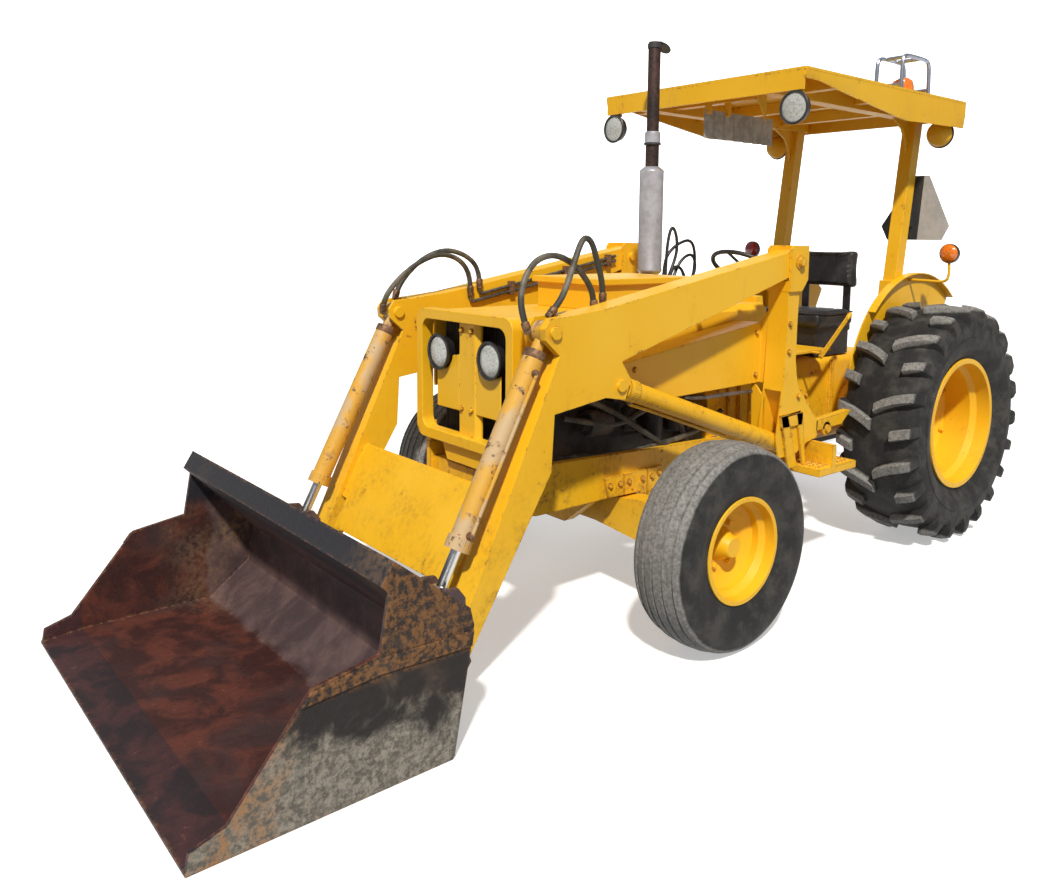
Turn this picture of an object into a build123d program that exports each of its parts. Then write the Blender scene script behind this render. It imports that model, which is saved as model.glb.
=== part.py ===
from build123d import *
import os
from math import cos, hypot, radians, sin

# Industrial loader tractor: a low wheel tractor with a front bucket on
# goose-neck arms, hinged on masts at both sides of the bonnet, and a two-post
# canopy over the seat.
# Millimetres. The bucket points to -Y, the machine's left side is +X and +Z is
# up. The origin is on the ground, in the middle of the length.

# Overall places
CUTTING_EDGE_AHEAD = 4110.0
HITCH_BEHIND = 660.0
WHEELBASE = 2022.0
LENGTH = CUTTING_EDGE_AHEAD + HITCH_BEHIND
REAR_Y = LENGTH / 2 - HITCH_BEHIND
FRONT_Y = REAR_Y - WHEELBASE
EDGE_Y = REAR_Y - CUTTING_EDGE_AHEAD

# Wheels
REAR_R = 642.0
REAR_OUT = 900.0
REAR_W = 450.0
REAR_RIM_R = 352.0
REAR_LUG = 38.0
REAR_PAIRS = 11
FRONT_R = 415.0
FRONT_OUT = 985.0
FRONT_W = 250.0
FRONT_RIM_R = 214.0
KINGPIN_X = 640.0
KINGPIN_R = 19.0

# Running and seating clearances
RUN = 0.3
SEAT = 0.3
PLAY = 6.0

# Loader arm, in side view
ARM_IN = 490.0
ARM_OUT = 600.0
ARM_X = (ARM_IN + ARM_OUT) / 2
ARM_PIN = (511.0, 1517.0)
ARM_PIN_R = 22.0
TILT_PIN = (-963.0, 1274.0)
LIFT_PIN = (-625.0, 1050.0)
LIFT_BASE = (479.0, 654.0)
BUCKET_PIN = (-1400.0, 165.0)
LUG_PIN = (-1425.0, 392.0)
EAR = 16.0
TILT_X = ARM_X - 10.0

# Cylinders
LIFT_BARREL_R = 42.0
LIFT_ROD_R = 22.0
TILT_BARREL_R = 40.0
TILT_ROD_R = 20.0
TILT_GLAND = 831.0
LIFT_GLAND = 72.0
EYE_W = 50.0

# Bucket
BUCKET_HALF = 845.0

# Tractor body
RAIL_X = 300.0
RAIL_T = 30.0
HOOD_HALF = 300.0
GUARD_HALF = 345.0
GUARD_Y = -960.0
HOOD_TOP = 1300.0

# Canopy
ROOF_HALF = 643.0
ROOF_FRONT = 455.0
ROOF_REAR = 1997.0
ROOF_Z = 2390.0
POST_X = 390.0
POST_FOOT = (1744.0, 1311.0)
POST_TOP = (1896.0, 2306.0)
FRAME_LOW = ROOF_Z - 92
POST_DEPTH = 80.0

os.makedirs("parts", exist_ok=True)


def wheel_plane(x, y, z):
    """A sketch plane through a wheel's axle: local x is X, local y is up."""
    return Plane(origin=(x, y, z), x_dir=(1, 0, 0), z_dir=(0, -1, 0))


def side_plane(x):
    """A sketch plane in side view, whose local x is Y and local y is Z."""
    return Plane(origin=(x, 0, 0), x_dir=(0, 1, 0), z_dir=(1, 0, 0))


def along(start, end, x):
    """A plane at start, in side view, whose normal points to end."""
    dy, dz = end[0] - start[0], end[1] - start[1]
    return Plane(origin=(x, start[0], start[1]), x_dir=(1, 0, 0), z_dir=(0, dy, dz))


def between(start, end, distance):
    """The point in side view at a distance from start towards end."""
    length = hypot(end[0] - start[0], end[1] - start[1])
    t = distance / length
    return (start[0] + (end[0] - start[0]) * t, start[1] + (end[1] - start[1]) * t)


def post_rear(z):
    """How far back the sloping post's rear face is at a height."""
    lean = (POST_TOP[0] - POST_FOOT[0]) / (POST_TOP[1] - POST_FOOT[1])
    return POST_FOOT[0] + (z - POST_FOOT[1]) * lean + POST_DEPTH / 2 * hypot(1, lean)


def write(builder, name):
    builder.part.label = name
    export_step(builder.part, f"parts/{name}.step")


# Rear wheels
REAR_X = REAR_OUT - REAR_W / 2
rear_rim_half = REAR_W / 2 - 42
with BuildPart() as rear_tyre_left:
    with BuildSketch(wheel_plane(REAR_X, REAR_Y, REAR_R)):
        with BuildLine():
            l1 = Polyline(
                (-rear_rim_half + 12, REAR_RIM_R - 22),
                (rear_rim_half - 12, REAR_RIM_R - 22),
                (rear_rim_half - 12, REAR_RIM_R + 14),
            )
            l2 = ThreePointArc(
                (rear_rim_half - 12, REAR_RIM_R + 14),
                (REAR_W / 2, REAR_RIM_R + 105),
                (REAR_W / 2 - 26, REAR_R - REAR_LUG - 34),
            )
            l3 = ThreePointArc(
                (REAR_W / 2 - 26, REAR_R - REAR_LUG - 34),
                (0, REAR_R - REAR_LUG),
                (-REAR_W / 2 + 26, REAR_R - REAR_LUG - 34),
            )
            l4 = ThreePointArc(
                (-REAR_W / 2 + 26, REAR_R - REAR_LUG - 34),
                (-REAR_W / 2, REAR_RIM_R + 105),
                (-rear_rim_half + 12, REAR_RIM_R + 14),
            )
            Line(l4 @ 1, l1 @ 0)
        make_face()
    revolve(axis=Axis((REAR_X, REAR_Y, REAR_R), (1, 0, 0)))
    # Lugs in two rows, long and short in turn, each row half a pitch behind
    pitch = 360 / REAR_PAIRS
    for row in (1, -1):
        for i in range(REAR_PAIRS):
            for long_lug in (True, False):
                turn = (i + (0 if long_lug else 0.5) + (0.25 if row < 0 else 0)) * pitch
                tangent = Plane(
                    origin=(
                        REAR_X,
                        REAR_Y + (REAR_R - REAR_LUG - 30) * cos(radians(turn)),
                        REAR_R + (REAR_R - REAR_LUG - 30) * sin(radians(turn)),
                    ),
                    x_dir=(1, 0, 0),
                    z_dir=(0, cos(radians(turn)), sin(radians(turn))),
                )
                inner = 12 if long_lug else 95
                sweep_back = 78 if long_lug else 40
                with BuildSketch(tangent):
                    with BuildLine():
                        Polyline(
                            (row * inner, -sweep_back),
                            (row * inner, -sweep_back + 52),
                            (row * (REAR_W / 2 - 8), 34),
                            (row * (REAR_W / 2 - 8), -22),
                            close=True,
                        )
                    make_face()
                extrude(amount=REAR_LUG + 30)
    with BuildSketch(wheel_plane(REAR_X, REAR_Y, REAR_R)):
        with BuildLine():
            Polyline(
                (-REAR_W, 0),
                (REAR_W, 0),
                (REAR_W, REAR_R - 60),
                (REAR_W / 2 - 10, REAR_R - 16),
                (REAR_W / 4, REAR_R),
                (-REAR_W / 4, REAR_R),
                (-REAR_W / 2 + 10, REAR_R - 16),
                (-REAR_W, REAR_R - 60),
                close=True,
            )
        make_face()
    revolve(axis=Axis((REAR_X, REAR_Y, REAR_R), (1, 0, 0)), mode=Mode.INTERSECT)
write(rear_tyre_left, "rear_tyre_left")

REAR_DISC = REAR_X - 118
REAR_SHAFT_R = 48.0
with BuildPart() as rear_rim_left:
    with BuildSketch(wheel_plane(REAR_X, REAR_Y, REAR_R)):
        with BuildLine():
            Polyline(
                (-rear_rim_half, REAR_RIM_R),
                (-rear_rim_half + 12, REAR_RIM_R),
                (-rear_rim_half + 12, REAR_RIM_R - 22),
                (rear_rim_half - 12, REAR_RIM_R - 22),
                (rear_rim_half - 12, REAR_RIM_R),
                (rear_rim_half, REAR_RIM_R),
                (rear_rim_half, REAR_RIM_R - 32),
                (-rear_rim_half, REAR_RIM_R - 32),
                close=True,
            )
        make_face()
        with BuildLine():
            Polyline(
                (REAR_DISC - REAR_X - 12, 0),
                (REAR_DISC - REAR_X + 26, 0),
                (REAR_DISC - REAR_X + 26, 110),
                (REAR_DISC - REAR_X, 118),
                (REAR_DISC - REAR_X, 210),
                (REAR_DISC - REAR_X + 60, REAR_RIM_R - 30),
                (REAR_DISC - REAR_X + 48, REAR_RIM_R - 30),
                (REAR_DISC - REAR_X - 12, 214),
                close=True,
            )
        make_face()
    revolve(axis=Axis((REAR_X, REAR_Y, REAR_R), (1, 0, 0)))
    with BuildSketch(side_plane(REAR_DISC - 12)):
        with Locations((REAR_Y, REAR_R)):
            Circle(105)
    extrude(amount=-20)
    with BuildSketch(side_plane(REAR_DISC - 12)):
        with Locations((REAR_Y, REAR_R)):
            Circle(REAR_SHAFT_R)
    extrude(amount=-(REAR_DISC - 12 - 360))
write(rear_rim_left, "rear_rim_left")

with BuildPart() as rear_tyre_right:
    mirror(rear_tyre_left.part, about=Plane.YZ)
write(rear_tyre_right, "rear_tyre_right")
with BuildPart() as rear_rim_right:
    mirror(rear_rim_left.part, about=Plane.YZ)
write(rear_rim_right, "rear_rim_right")

# Front wheels
FRONT_X = FRONT_OUT - FRONT_W / 2
front_rim_half = FRONT_W / 2 - 20
with BuildPart() as front_tyre_left:
    with BuildSketch(wheel_plane(FRONT_X, FRONT_Y, FRONT_R)):
        with BuildLine():
            f1 = Polyline(
                (-front_rim_half + 8, FRONT_RIM_R - 14),
                (front_rim_half - 8, FRONT_RIM_R - 14),
                (front_rim_half - 8, FRONT_RIM_R + 10),
            )
            ThreePointArc(
                (front_rim_half - 8, FRONT_RIM_R + 10),
                (FRONT_W / 2, FRONT_RIM_R + 95),
                (FRONT_W / 2 - 18, FRONT_R - 20),
            )
            ThreePointArc(
                (FRONT_W / 2 - 18, FRONT_R - 20), (0, FRONT_R), (-FRONT_W / 2 + 18, FRONT_R - 20)
            )
            f4 = ThreePointArc(
                (-FRONT_W / 2 + 18, FRONT_R - 20),
                (-FRONT_W / 2, FRONT_RIM_R + 95),
                (-front_rim_half + 8, FRONT_RIM_R + 10),
            )
            Line(f4 @ 1, f1 @ 0)
        make_face()
    revolve(axis=Axis((FRONT_X, FRONT_Y, FRONT_R), (1, 0, 0)))
write(front_tyre_left, "front_tyre_left")

SPINDLE_R = 30.0
HUB_R = 70.0
FRONT_DISC = FRONT_X - 25
SPINDLE_END = FRONT_DISC + 50
with BuildPart() as front_rim_left:
    with BuildSketch(wheel_plane(FRONT_X, FRONT_Y, FRONT_R)):
        with BuildLine():
            Polyline(
                (-front_rim_half, FRONT_RIM_R),
                (-front_rim_half + 8, FRONT_RIM_R),
                (-front_rim_half + 8, FRONT_RIM_R - 14),
                (front_rim_half - 8, FRONT_RIM_R - 14),
                (front_rim_half - 8, FRONT_RIM_R),
                (front_rim_half, FRONT_RIM_R),
                (front_rim_half, FRONT_RIM_R - 22),
                (-front_rim_half, FRONT_RIM_R - 22),
                close=True,
            )
        make_face()
        with BuildLine():
            Polyline(
                (FRONT_DISC - FRONT_X, HUB_R - 5),
                (FRONT_DISC - FRONT_X + 10, HUB_R - 5),
                (FRONT_DISC - FRONT_X + 10, 120),
                (FRONT_DISC - FRONT_X + 40, FRONT_RIM_R - 20),
                (FRONT_DISC - FRONT_X + 30, FRONT_RIM_R - 20),
                (FRONT_DISC - FRONT_X, 124),
                close=True,
            )
        make_face()
        with BuildLine():
            Polyline(
                (FRONT_DISC - FRONT_X - 60, SPINDLE_R + RUN),
                (SPINDLE_END - FRONT_X + RUN, SPINDLE_R + RUN),
                (SPINDLE_END - FRONT_X + RUN, 0),
                (SPINDLE_END - FRONT_X + 30, 0),
                (SPINDLE_END - FRONT_X + 30, HUB_R - 28),
                (SPINDLE_END - FRONT_X, HUB_R - 22),
                (FRONT_DISC - FRONT_X + 14, HUB_R),
                (FRONT_DISC - FRONT_X - 60, HUB_R),
                close=True,
            )
        make_face()
    revolve(axis=Axis((FRONT_X, FRONT_Y, FRONT_R), (1, 0, 0)))
write(front_rim_left, "front_rim_left")
with BuildPart() as front_tyre_right:
    mirror(front_tyre_left.part, about=Plane.YZ)
write(front_tyre_right, "front_tyre_right")
with BuildPart() as front_rim_right:
    mirror(front_rim_left.part, about=Plane.YZ)
write(front_rim_right, "front_rim_right")

# Front axle: a box beam on a centre pin, with a fork at each end
FORK_GAP = 130.0
FORK_T = 34.0
AXLE_END = KINGPIN_X
with BuildPart() as front_axle:
    with BuildSketch(Plane.XZ.offset(-FRONT_Y)):
        with BuildLine():
            Polyline(
                (0, FRONT_R + 62),
                (180, FRONT_R + 62),
                (KINGPIN_X - 90, FRONT_R + FORK_GAP / 2 + FORK_T),
                (KINGPIN_X - 90, FRONT_R - FORK_GAP / 2 - FORK_T),
                (180, FRONT_R - 62),
                (0, FRONT_R - 62),
                close=True,
            )
        make_face()
        mirror(about=Plane.YZ)
    extrude(amount=55, both=True)
    for side in (1, -1):
        for low in (FRONT_R + FORK_GAP / 2, FRONT_R - FORK_GAP / 2 - FORK_T):
            with BuildSketch(Plane.XY.offset(low)):
                with Locations((side * KINGPIN_X, FRONT_Y)):
                    Circle(46)
                with Locations((side * (KINGPIN_X - 50), FRONT_Y)):
                    Rectangle(100, 92)
            extrude(amount=FORK_T)
        with BuildSketch(Plane.XY.offset(FRONT_R - FORK_GAP / 2 - FORK_T)):
            with Locations((side * KINGPIN_X, FRONT_Y)):
                Circle(KINGPIN_R)
        extrude(amount=FORK_GAP + 2 * FORK_T + 12)
    with BuildSketch(Plane.XZ.offset(-FRONT_Y + 55)):
        with Locations((0, FRONT_R)):
            Circle(38)
    extrude(amount=160)
    with BuildSketch(Plane.XZ.offset(-FRONT_Y - 55)):
        with Locations((0, FRONT_R)):
            Circle(38)
    extrude(amount=-160)
write(front_axle, "front_axle")

with BuildPart() as knuckle_left:
    knuckle_half = FORK_GAP / 2 - PLAY
    with BuildSketch(Plane.XY.offset(FRONT_R - knuckle_half)):
        with Locations((KINGPIN_X, FRONT_Y)):
            Circle(44)
            Circle(KINGPIN_R + RUN, mode=Mode.SUBTRACT)
    extrude(amount=2 * knuckle_half)
    with BuildSketch(side_plane(KINGPIN_X + 38)):
        with Locations((FRONT_Y, FRONT_R)):
            Circle(SPINDLE_R + 12)
    extrude(amount=FRONT_DISC - 60 - PLAY - KINGPIN_X - 38)
    with BuildSketch(side_plane(KINGPIN_X + 38)):
        with Locations((FRONT_Y, FRONT_R)):
            Circle(SPINDLE_R)
    extrude(amount=SPINDLE_END - KINGPIN_X - 38)
    # Steering arm, behind the axle
    with BuildSketch(Plane.XY.offset(FRONT_R - 20)):
        with BuildLine():
            Polyline(
                (KINGPIN_X - 12, FRONT_Y + 40),
                (KINGPIN_X + 24, FRONT_Y + 32),
                (KINGPIN_X - 6, FRONT_Y + 175),
                (KINGPIN_X - 40, FRONT_Y + 175),
                close=True,
            )
        make_face()
    extrude(amount=26)
write(knuckle_left, "knuckle_left")
with BuildPart() as knuckle_right:
    mirror(knuckle_left.part, about=Plane.YZ)
write(knuckle_right, "knuckle_right")

# Frame rails, with the cast front support that carries the axle's pin
RAIL_LOW = 500.0
RAIL_HIGH = 650.0
RAIL_FRONT = GUARD_Y + 40
RAIL_REAR = 700.0
with BuildPart() as front_frame:
    for side in (1, -1):
        x = RAIL_X if side > 0 else -RAIL_X - RAIL_T
        with BuildSketch(side_plane(x)):
            with BuildLine():
                Polyline(
                    (RAIL_FRONT, RAIL_LOW + 20),
                    (RAIL_FRONT + 100, RAIL_LOW),
                    (RAIL_REAR, RAIL_LOW),
                    (RAIL_REAR, RAIL_HIGH),
                    (RAIL_FRONT, RAIL_HIGH + 60),
                    close=True,
                )
            make_face()
        extrude(amount=RAIL_T)
    with BuildSketch(Plane.XY.offset(RAIL_LOW + 30)):
        with Locations((0, RAIL_FRONT + 130)):
            Rectangle(2 * RAIL_X, 220)
    extrude(amount=110)
    for y in (FRONT_Y - 150, FRONT_Y + 150):
        with BuildSketch(Plane.XZ.offset(-y)):
            with BuildLine():
                Polyline(
                    (-RAIL_X, RAIL_LOW),
                    (-110, FRONT_R - 60),
                    (110, FRONT_R - 60),
                    (RAIL_X, RAIL_LOW),
                    (RAIL_X, RAIL_LOW + 60),
                    (-RAIL_X, RAIL_LOW + 60),
                    close=True,
                )
            make_face()
            with Locations((0, FRONT_R)):
                Circle(38 + RUN, mode=Mode.SUBTRACT)
        extrude(amount=30, both=True)
write(front_frame, "front_frame")

# Engine, one plain block, on the rails' front support
ENGINE_FRONT = RAIL_FRONT + 240.0
ENGINE_REAR = 260.0
ENGINE_HALF = 190.0
ENGINE_LOW = 560.0
ENGINE_TOP = 1130.0
with BuildPart() as engine_block:
    with BuildSketch(Plane.XZ.offset(-ENGINE_FRONT)):
        with BuildLine():
            Polyline(
                (-ENGINE_HALF + 50, ENGINE_LOW),
                (ENGINE_HALF - 50, ENGINE_LOW),
                (ENGINE_HALF, ENGINE_LOW + 160),
                (ENGINE_HALF, ENGINE_TOP - 60),
                (ENGINE_HALF - 60, ENGINE_TOP),
                (-ENGINE_HALF + 60, ENGINE_TOP),
                (-ENGINE_HALF, ENGINE_TOP - 60),
                (-ENGINE_HALF, ENGINE_LOW + 160),
                close=True,
            )
        make_face()
    extrude(amount=-(ENGINE_REAR - ENGINE_FRONT))
write(engine_block, "engine_block")

# Transmission: bell housing between the rails, gearbox, and centre of the axle
GEARBOX_LOW = 470.0
GEARBOX_TOP = 960.0
with BuildPart() as transmission:
    with BuildSketch(Plane.XZ.offset(-ENGINE_REAR)):
        with Locations((0, (RAIL_LOW + 900) / 2)):
            RectangleRounded(2 * RAIL_X, 900 - RAIL_LOW, 60)
    extrude(amount=-90)
    with BuildSketch(Plane.XZ.offset(-ENGINE_REAR - 90)):
        with Locations((0, (GEARBOX_LOW + GEARBOX_TOP) / 2)):
            RectangleRounded(360, GEARBOX_TOP - GEARBOX_LOW, 50)
    extrude(amount=-(REAR_Y + 230 - ENGINE_REAR - 90))
    with BuildSketch(Plane.XY.offset(GEARBOX_TOP)):
        with Locations((0, 900)):
            Rectangle(300, 420)
    extrude(amount=50)
write(transmission, "transmission")

# Rear axle trumpets, bolted to the gearbox
with BuildPart() as rear_axle:
    for side in (1, -1):
        with BuildSketch(side_plane(side * 180)):
            with Locations((REAR_Y, REAR_R)):
                Circle(150)
        extrude(amount=side * 40)
        with BuildSketch(side_plane(side * 220)) as trumpet_root:
            with Locations((REAR_Y, REAR_R)):
                Circle(130)
        with BuildSketch(side_plane(side * 360)) as trumpet_end:
            with Locations((REAR_Y, REAR_R)):
                Circle(88)
        loft()
        with BuildSketch(side_plane(side * 360)):
            with Locations((REAR_Y, REAR_R)):
                Circle(98)
        extrude(amount=side * 50)
        with BuildSketch(side_plane(side * 410)):
            with Locations((REAR_Y, REAR_R)):
                Circle(REAR_SHAFT_R + RUN)
        extrude(amount=-side * 52, mode=Mode.SUBTRACT)
        with BuildSketch(Plane.XY.offset(700)):
            with Locations((side * 380, 1700)):
                Rectangle(60, 130)
        extrude(amount=45)
write(rear_axle, "rear_axle")

# Drawbar under the gearbox, with its pin hole behind
HITCH_Y = REAR_Y + HITCH_BEHIND
HITCH_PIN_R = 16.0
DRAWBAR_Z = 400.0
with BuildPart() as drawbar:
    with BuildSketch(Plane.XY.offset(DRAWBAR_Z)):
        with BuildLine():
            Polyline((-38, 1250), (38, 1250), (38, HITCH_Y - 38))
            ThreePointArc((38, HITCH_Y - 38), (0, HITCH_Y), (-38, HITCH_Y - 38))
            Line((-38, HITCH_Y - 38), (-38, 1250))
        make_face()
        with Locations((0, HITCH_Y - 45)):
            Circle(HITCH_PIN_R, mode=Mode.SUBTRACT)
    extrude(amount=36)
    with BuildSketch(Plane.XY.offset(DRAWBAR_Z + 36)):
        with Locations((0, 1290), (0, REAR_Y + 190)):
            Rectangle(120, 70)
    extrude(amount=GEARBOX_LOW - DRAWBAR_Z - 36)
write(drawbar, "drawbar")

# Loader masts: a box column on each side, a clevis for the arm's pin on top
MAST_IN = ARM_IN
MAST_OUT = ARM_OUT
CHEEK = 12.0
MAST_PLATE = 8.0
CHEEK_GAP = 1.0
with BuildPart() as masts:
    with BuildSketch(side_plane(MAST_IN)):
        with BuildLine():
            Polyline(
                (447, 1430),
                (543, 1430),
                (531, 1250),
                (530, 1057),
                (553, 935),
                (691, 780),
                (738, 743),
                (733, 659),
                (649, 645),
                (552, 600),
                (420, 600),
                (400, 700),
                (439, 956),
                (452, 1254),
                close=True,
            )
        make_face()
    extrude(amount=MAST_OUT - MAST_IN)
    # Room for the lift cylinder between two plates
    with BuildSketch(side_plane(MAST_IN + MAST_PLATE)):
        with BuildLine():
            Polyline(
                (340, 560), (545, 560), (545, 700), (520, 745), (480, 835), (440, 915), (340, 915),
                close=True,
            )
        make_face()
    extrude(amount=MAST_OUT - MAST_IN - 2 * MAST_PLATE, mode=Mode.SUBTRACT)
    with BuildSketch(side_plane(MAST_IN - 10)):
        with Locations(LIFT_BASE):
            Circle(ARM_PIN_R)
    extrude(amount=MAST_OUT - MAST_IN + 20)
    for low in (MAST_IN - CHEEK_GAP - CHEEK, MAST_OUT + CHEEK_GAP):
        with BuildSketch(side_plane(low)):
            with BuildLine():
                Polyline(
                    (447, 1380), (447, 1575), (465, 1592), (584, 1592), (584, 1433), (540, 1380),
                    close=True,
                )
            make_face()
        extrude(amount=CHEEK)
    with BuildSketch(side_plane(MAST_IN - CHEEK_GAP - CHEEK)):
        with Locations((578, 1512)):
            Rectangle(12, 160)
    extrude(amount=MAST_OUT - MAST_IN + 2 * (CHEEK + CHEEK_GAP))
    with BuildSketch(side_plane(MAST_IN - CHEEK_GAP - CHEEK)):
        with Locations((495, 1405)):
            Rectangle(96, 50)
    extrude(amount=MAST_OUT - MAST_IN + 2 * (CHEEK + CHEEK_GAP))
    with BuildSketch(side_plane(MAST_IN - CHEEK_GAP - CHEEK - 18)):
        with Locations(ARM_PIN):
            Circle(ARM_PIN_R)
    extrude(amount=MAST_OUT - MAST_IN + 2 * (CHEEK + CHEEK_GAP + 18))
    # Feet that reach in to the rails
    with BuildSketch(side_plane(RAIL_X + RAIL_T)):
        with BuildLine():
            Polyline((540, RAIL_LOW + 10), (690, RAIL_LOW + 10), (690, 760), (540, 760), close=True)
        make_face()
    extrude(amount=MAST_IN - RAIL_X - RAIL_T)
    with BuildSketch(side_plane(MAST_IN)):
        with Locations((625, 620)):
            Rectangle(140, 120)
    extrude(amount=20)
    mirror(about=Plane.YZ)
write(masts, "masts")

# Side beams from the masts forward along the bonnet
with BuildPart() as side_beams:
    with BuildSketch(side_plane(HOOD_HALF + 12)):
        with BuildLine():
            Polyline(
                (-478, 1105), (454, 1228), (454, 938), (-149, 930), (-440, 1040),
                close=True,
            )
        make_face()
    extrude(amount=452 - HOOD_HALF - 12)
    with BuildSketch(Plane.XZ.offset(-454)):
        with BuildLine():
            Polyline((440, 1228), (MAST_IN, 1290), (MAST_IN, 938), (440, 938), close=True)
        make_face()
    extrude(amount=-60)
    mirror(about=Plane.YZ)
write(side_beams, "side_beams")

# Bonnet and the raised tank box on it
HOOD_REAR = 700.0
HOOD_T = 12.0
with BuildPart() as hood:
    with BuildSketch(Plane.XZ.offset(-(GUARD_Y + 60))):
        with BuildLine():
            Polyline(
                (-HOOD_HALF, 960),
                (-HOOD_HALF, HOOD_TOP - 30),
                (-HOOD_HALF + 30, HOOD_TOP),
                (HOOD_HALF - 30, HOOD_TOP),
                (HOOD_HALF, HOOD_TOP - 30),
                (HOOD_HALF, 960),
                (HOOD_HALF - HOOD_T, 960),
                (HOOD_HALF - HOOD_T, HOOD_TOP - HOOD_T - 25),
                (HOOD_HALF - HOOD_T - 25, HOOD_TOP - HOOD_T),
                (-HOOD_HALF + HOOD_T + 25, HOOD_TOP - HOOD_T),
                (-HOOD_HALF + HOOD_T, HOOD_TOP - HOOD_T - 25),
                (-HOOD_HALF + HOOD_T, 960),
                close=True,
            )
        make_face()
    extrude(amount=-(HOOD_REAR - GUARD_Y - 60))
write(hood, "hood")

TANK_FRONT = -400.0
TANK_REAR = 230.0
TANK_HALF = 230.0
TANK_TOP = 1440.0
with BuildPart() as hood_tank:
    with BuildSketch(Plane.XY.offset(HOOD_TOP)):
        with Locations((0, (TANK_FRONT + TANK_REAR) / 2)):
            Rectangle(2 * TANK_HALF - 40, TANK_REAR - TANK_FRONT - 40)
    extrude(amount=TANK_TOP - HOOD_TOP - 28)
    with BuildSketch(Plane.XY.offset(TANK_TOP - 28)):
        with Locations((0, (TANK_FRONT + TANK_REAR) / 2)):
            Rectangle(2 * TANK_HALF, TANK_REAR - TANK_FRONT)
    extrude(amount=28)
write(hood_tank, "hood_tank")

# Grille guard with its centre post and lamp panel, and the radiator behind
GUARD_LOW = 740.0
GUARD_T = 60.0
with BuildPart() as grille_guard:
    with BuildSketch(Plane.XZ.offset(-GUARD_Y)):
        with Locations((0, (GUARD_LOW + HOOD_TOP + 8) / 2)):
            RectangleRounded(2 * GUARD_HALF, HOOD_TOP + 8 - GUARD_LOW, 50)
            RectangleRounded(2 * GUARD_HALF - 90, HOOD_TOP + 8 - GUARD_LOW - 90, 20, mode=Mode.SUBTRACT)
    extrude(amount=-GUARD_T)
    with BuildSketch(Plane.XZ.offset(-GUARD_Y)):
        with Locations((0, (GUARD_LOW + HOOD_TOP + 8) / 2)):
            Rectangle(90, HOOD_TOP + 8 - GUARD_LOW)
    extrude(amount=-GUARD_T)
    with BuildSketch(Plane.XZ.offset(-(GUARD_Y + 20))):
        with Locations((0, 1090)):
            Rectangle(2 * GUARD_HALF - 60, 380)
        with Locations((183, 1126), (-183, 1126)):
            Circle(76.8, mode=Mode.SUBTRACT)
    extrude(amount=-8)
    # Struts that carry the guard on the rails
    for side in (1, -1):
        with BuildSketch(Plane.XY.offset(RAIL_HIGH + 60)):
            with Locations((side * (RAIL_X + 15), GUARD_Y + 60)):
                Rectangle(RAIL_T, 40)
        extrude(amount=GUARD_LOW + 60 - RAIL_HIGH - 60)
write(grille_guard, "grille_guard")

with BuildPart() as radiator:
    with BuildSketch(Plane.XZ.offset(-(GUARD_Y + 110))):
        with Locations((0, 970)):
            Rectangle(2 * HOOD_HALF - 60, 560)
    extrude(amount=-100)
    with BuildSketch(Plane.XY.offset(RAIL_LOW + 140)):
        with Locations((0, GUARD_Y + 160)):
            Rectangle(300, 90)
    extrude(amount=60)
write(radiator, "radiator")

with BuildPart() as headlamps:
    for side in (1, -1):
        with BuildSketch(wheel_plane(side * 183, GUARD_Y + 60, 1126)):
            Circle(60)
        with BuildSketch(wheel_plane(side * 183, GUARD_Y + 14, 1126)):
            Circle(79)
        loft()
write(headlamps, "headlamps")

# Exhaust: muffler on the bonnet, stack with its clamp and rain cap
STACK = (-149.0, 312.0)
STACK_R = 31.0
MUFFLER_R = 62.0
MUFFLER_LOW = HOOD_TOP + 130
MUFFLER_HIGH = MUFFLER_LOW + 540
STACK_TOP = 2590.0
with BuildPart() as exhaust_stack:
    with BuildSketch(Plane.XY.offset(HOOD_TOP)):
        with Locations(STACK):
            Circle(STACK_R + 6)
    extrude(amount=MUFFLER_LOW - HOOD_TOP)
    with BuildSketch(Plane.XY.offset(MUFFLER_LOW)):
        with Locations(STACK):
            Circle(MUFFLER_R)
    extrude(amount=MUFFLER_HIGH - MUFFLER_LOW)
    with BuildSketch(Plane.XY.offset(MUFFLER_HIGH)):
        with Locations(STACK):
            Circle(STACK_R)
    extrude(amount=STACK_TOP - MUFFLER_HIGH)
write(exhaust_stack, "exhaust_stack")

# Steps under the masts
STEP_Z = 505.0
with BuildPart() as steps:
    with BuildSketch(side_plane(MAST_IN + 20)):
        with BuildLine():
            Polyline(
                (585, STEP_Z), (900, STEP_Z), (900, STEP_Z + 36), (720, STEP_Z + 36), (720, 645),
                (690, 645), (690, STEP_Z + 36), (585, STEP_Z + 36),
                close=True,
            )
        make_face()
    extrude(amount=MAST_OUT + 100 - MAST_IN)
    mirror(about=Plane.YZ)
write(steps, "steps")

# Platform between the fenders
FLOOR_Z = GEARBOX_TOP + 50
with BuildPart() as platform:
    with BuildSketch(Plane.XY.offset(FLOOR_Z)):
        with Locations((0, (HOOD_REAR + 1320) / 2)):
            Rectangle(2 * 290, 1320 - HOOD_REAR)
    extrude(amount=12)
write(platform, "platform")

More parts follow.
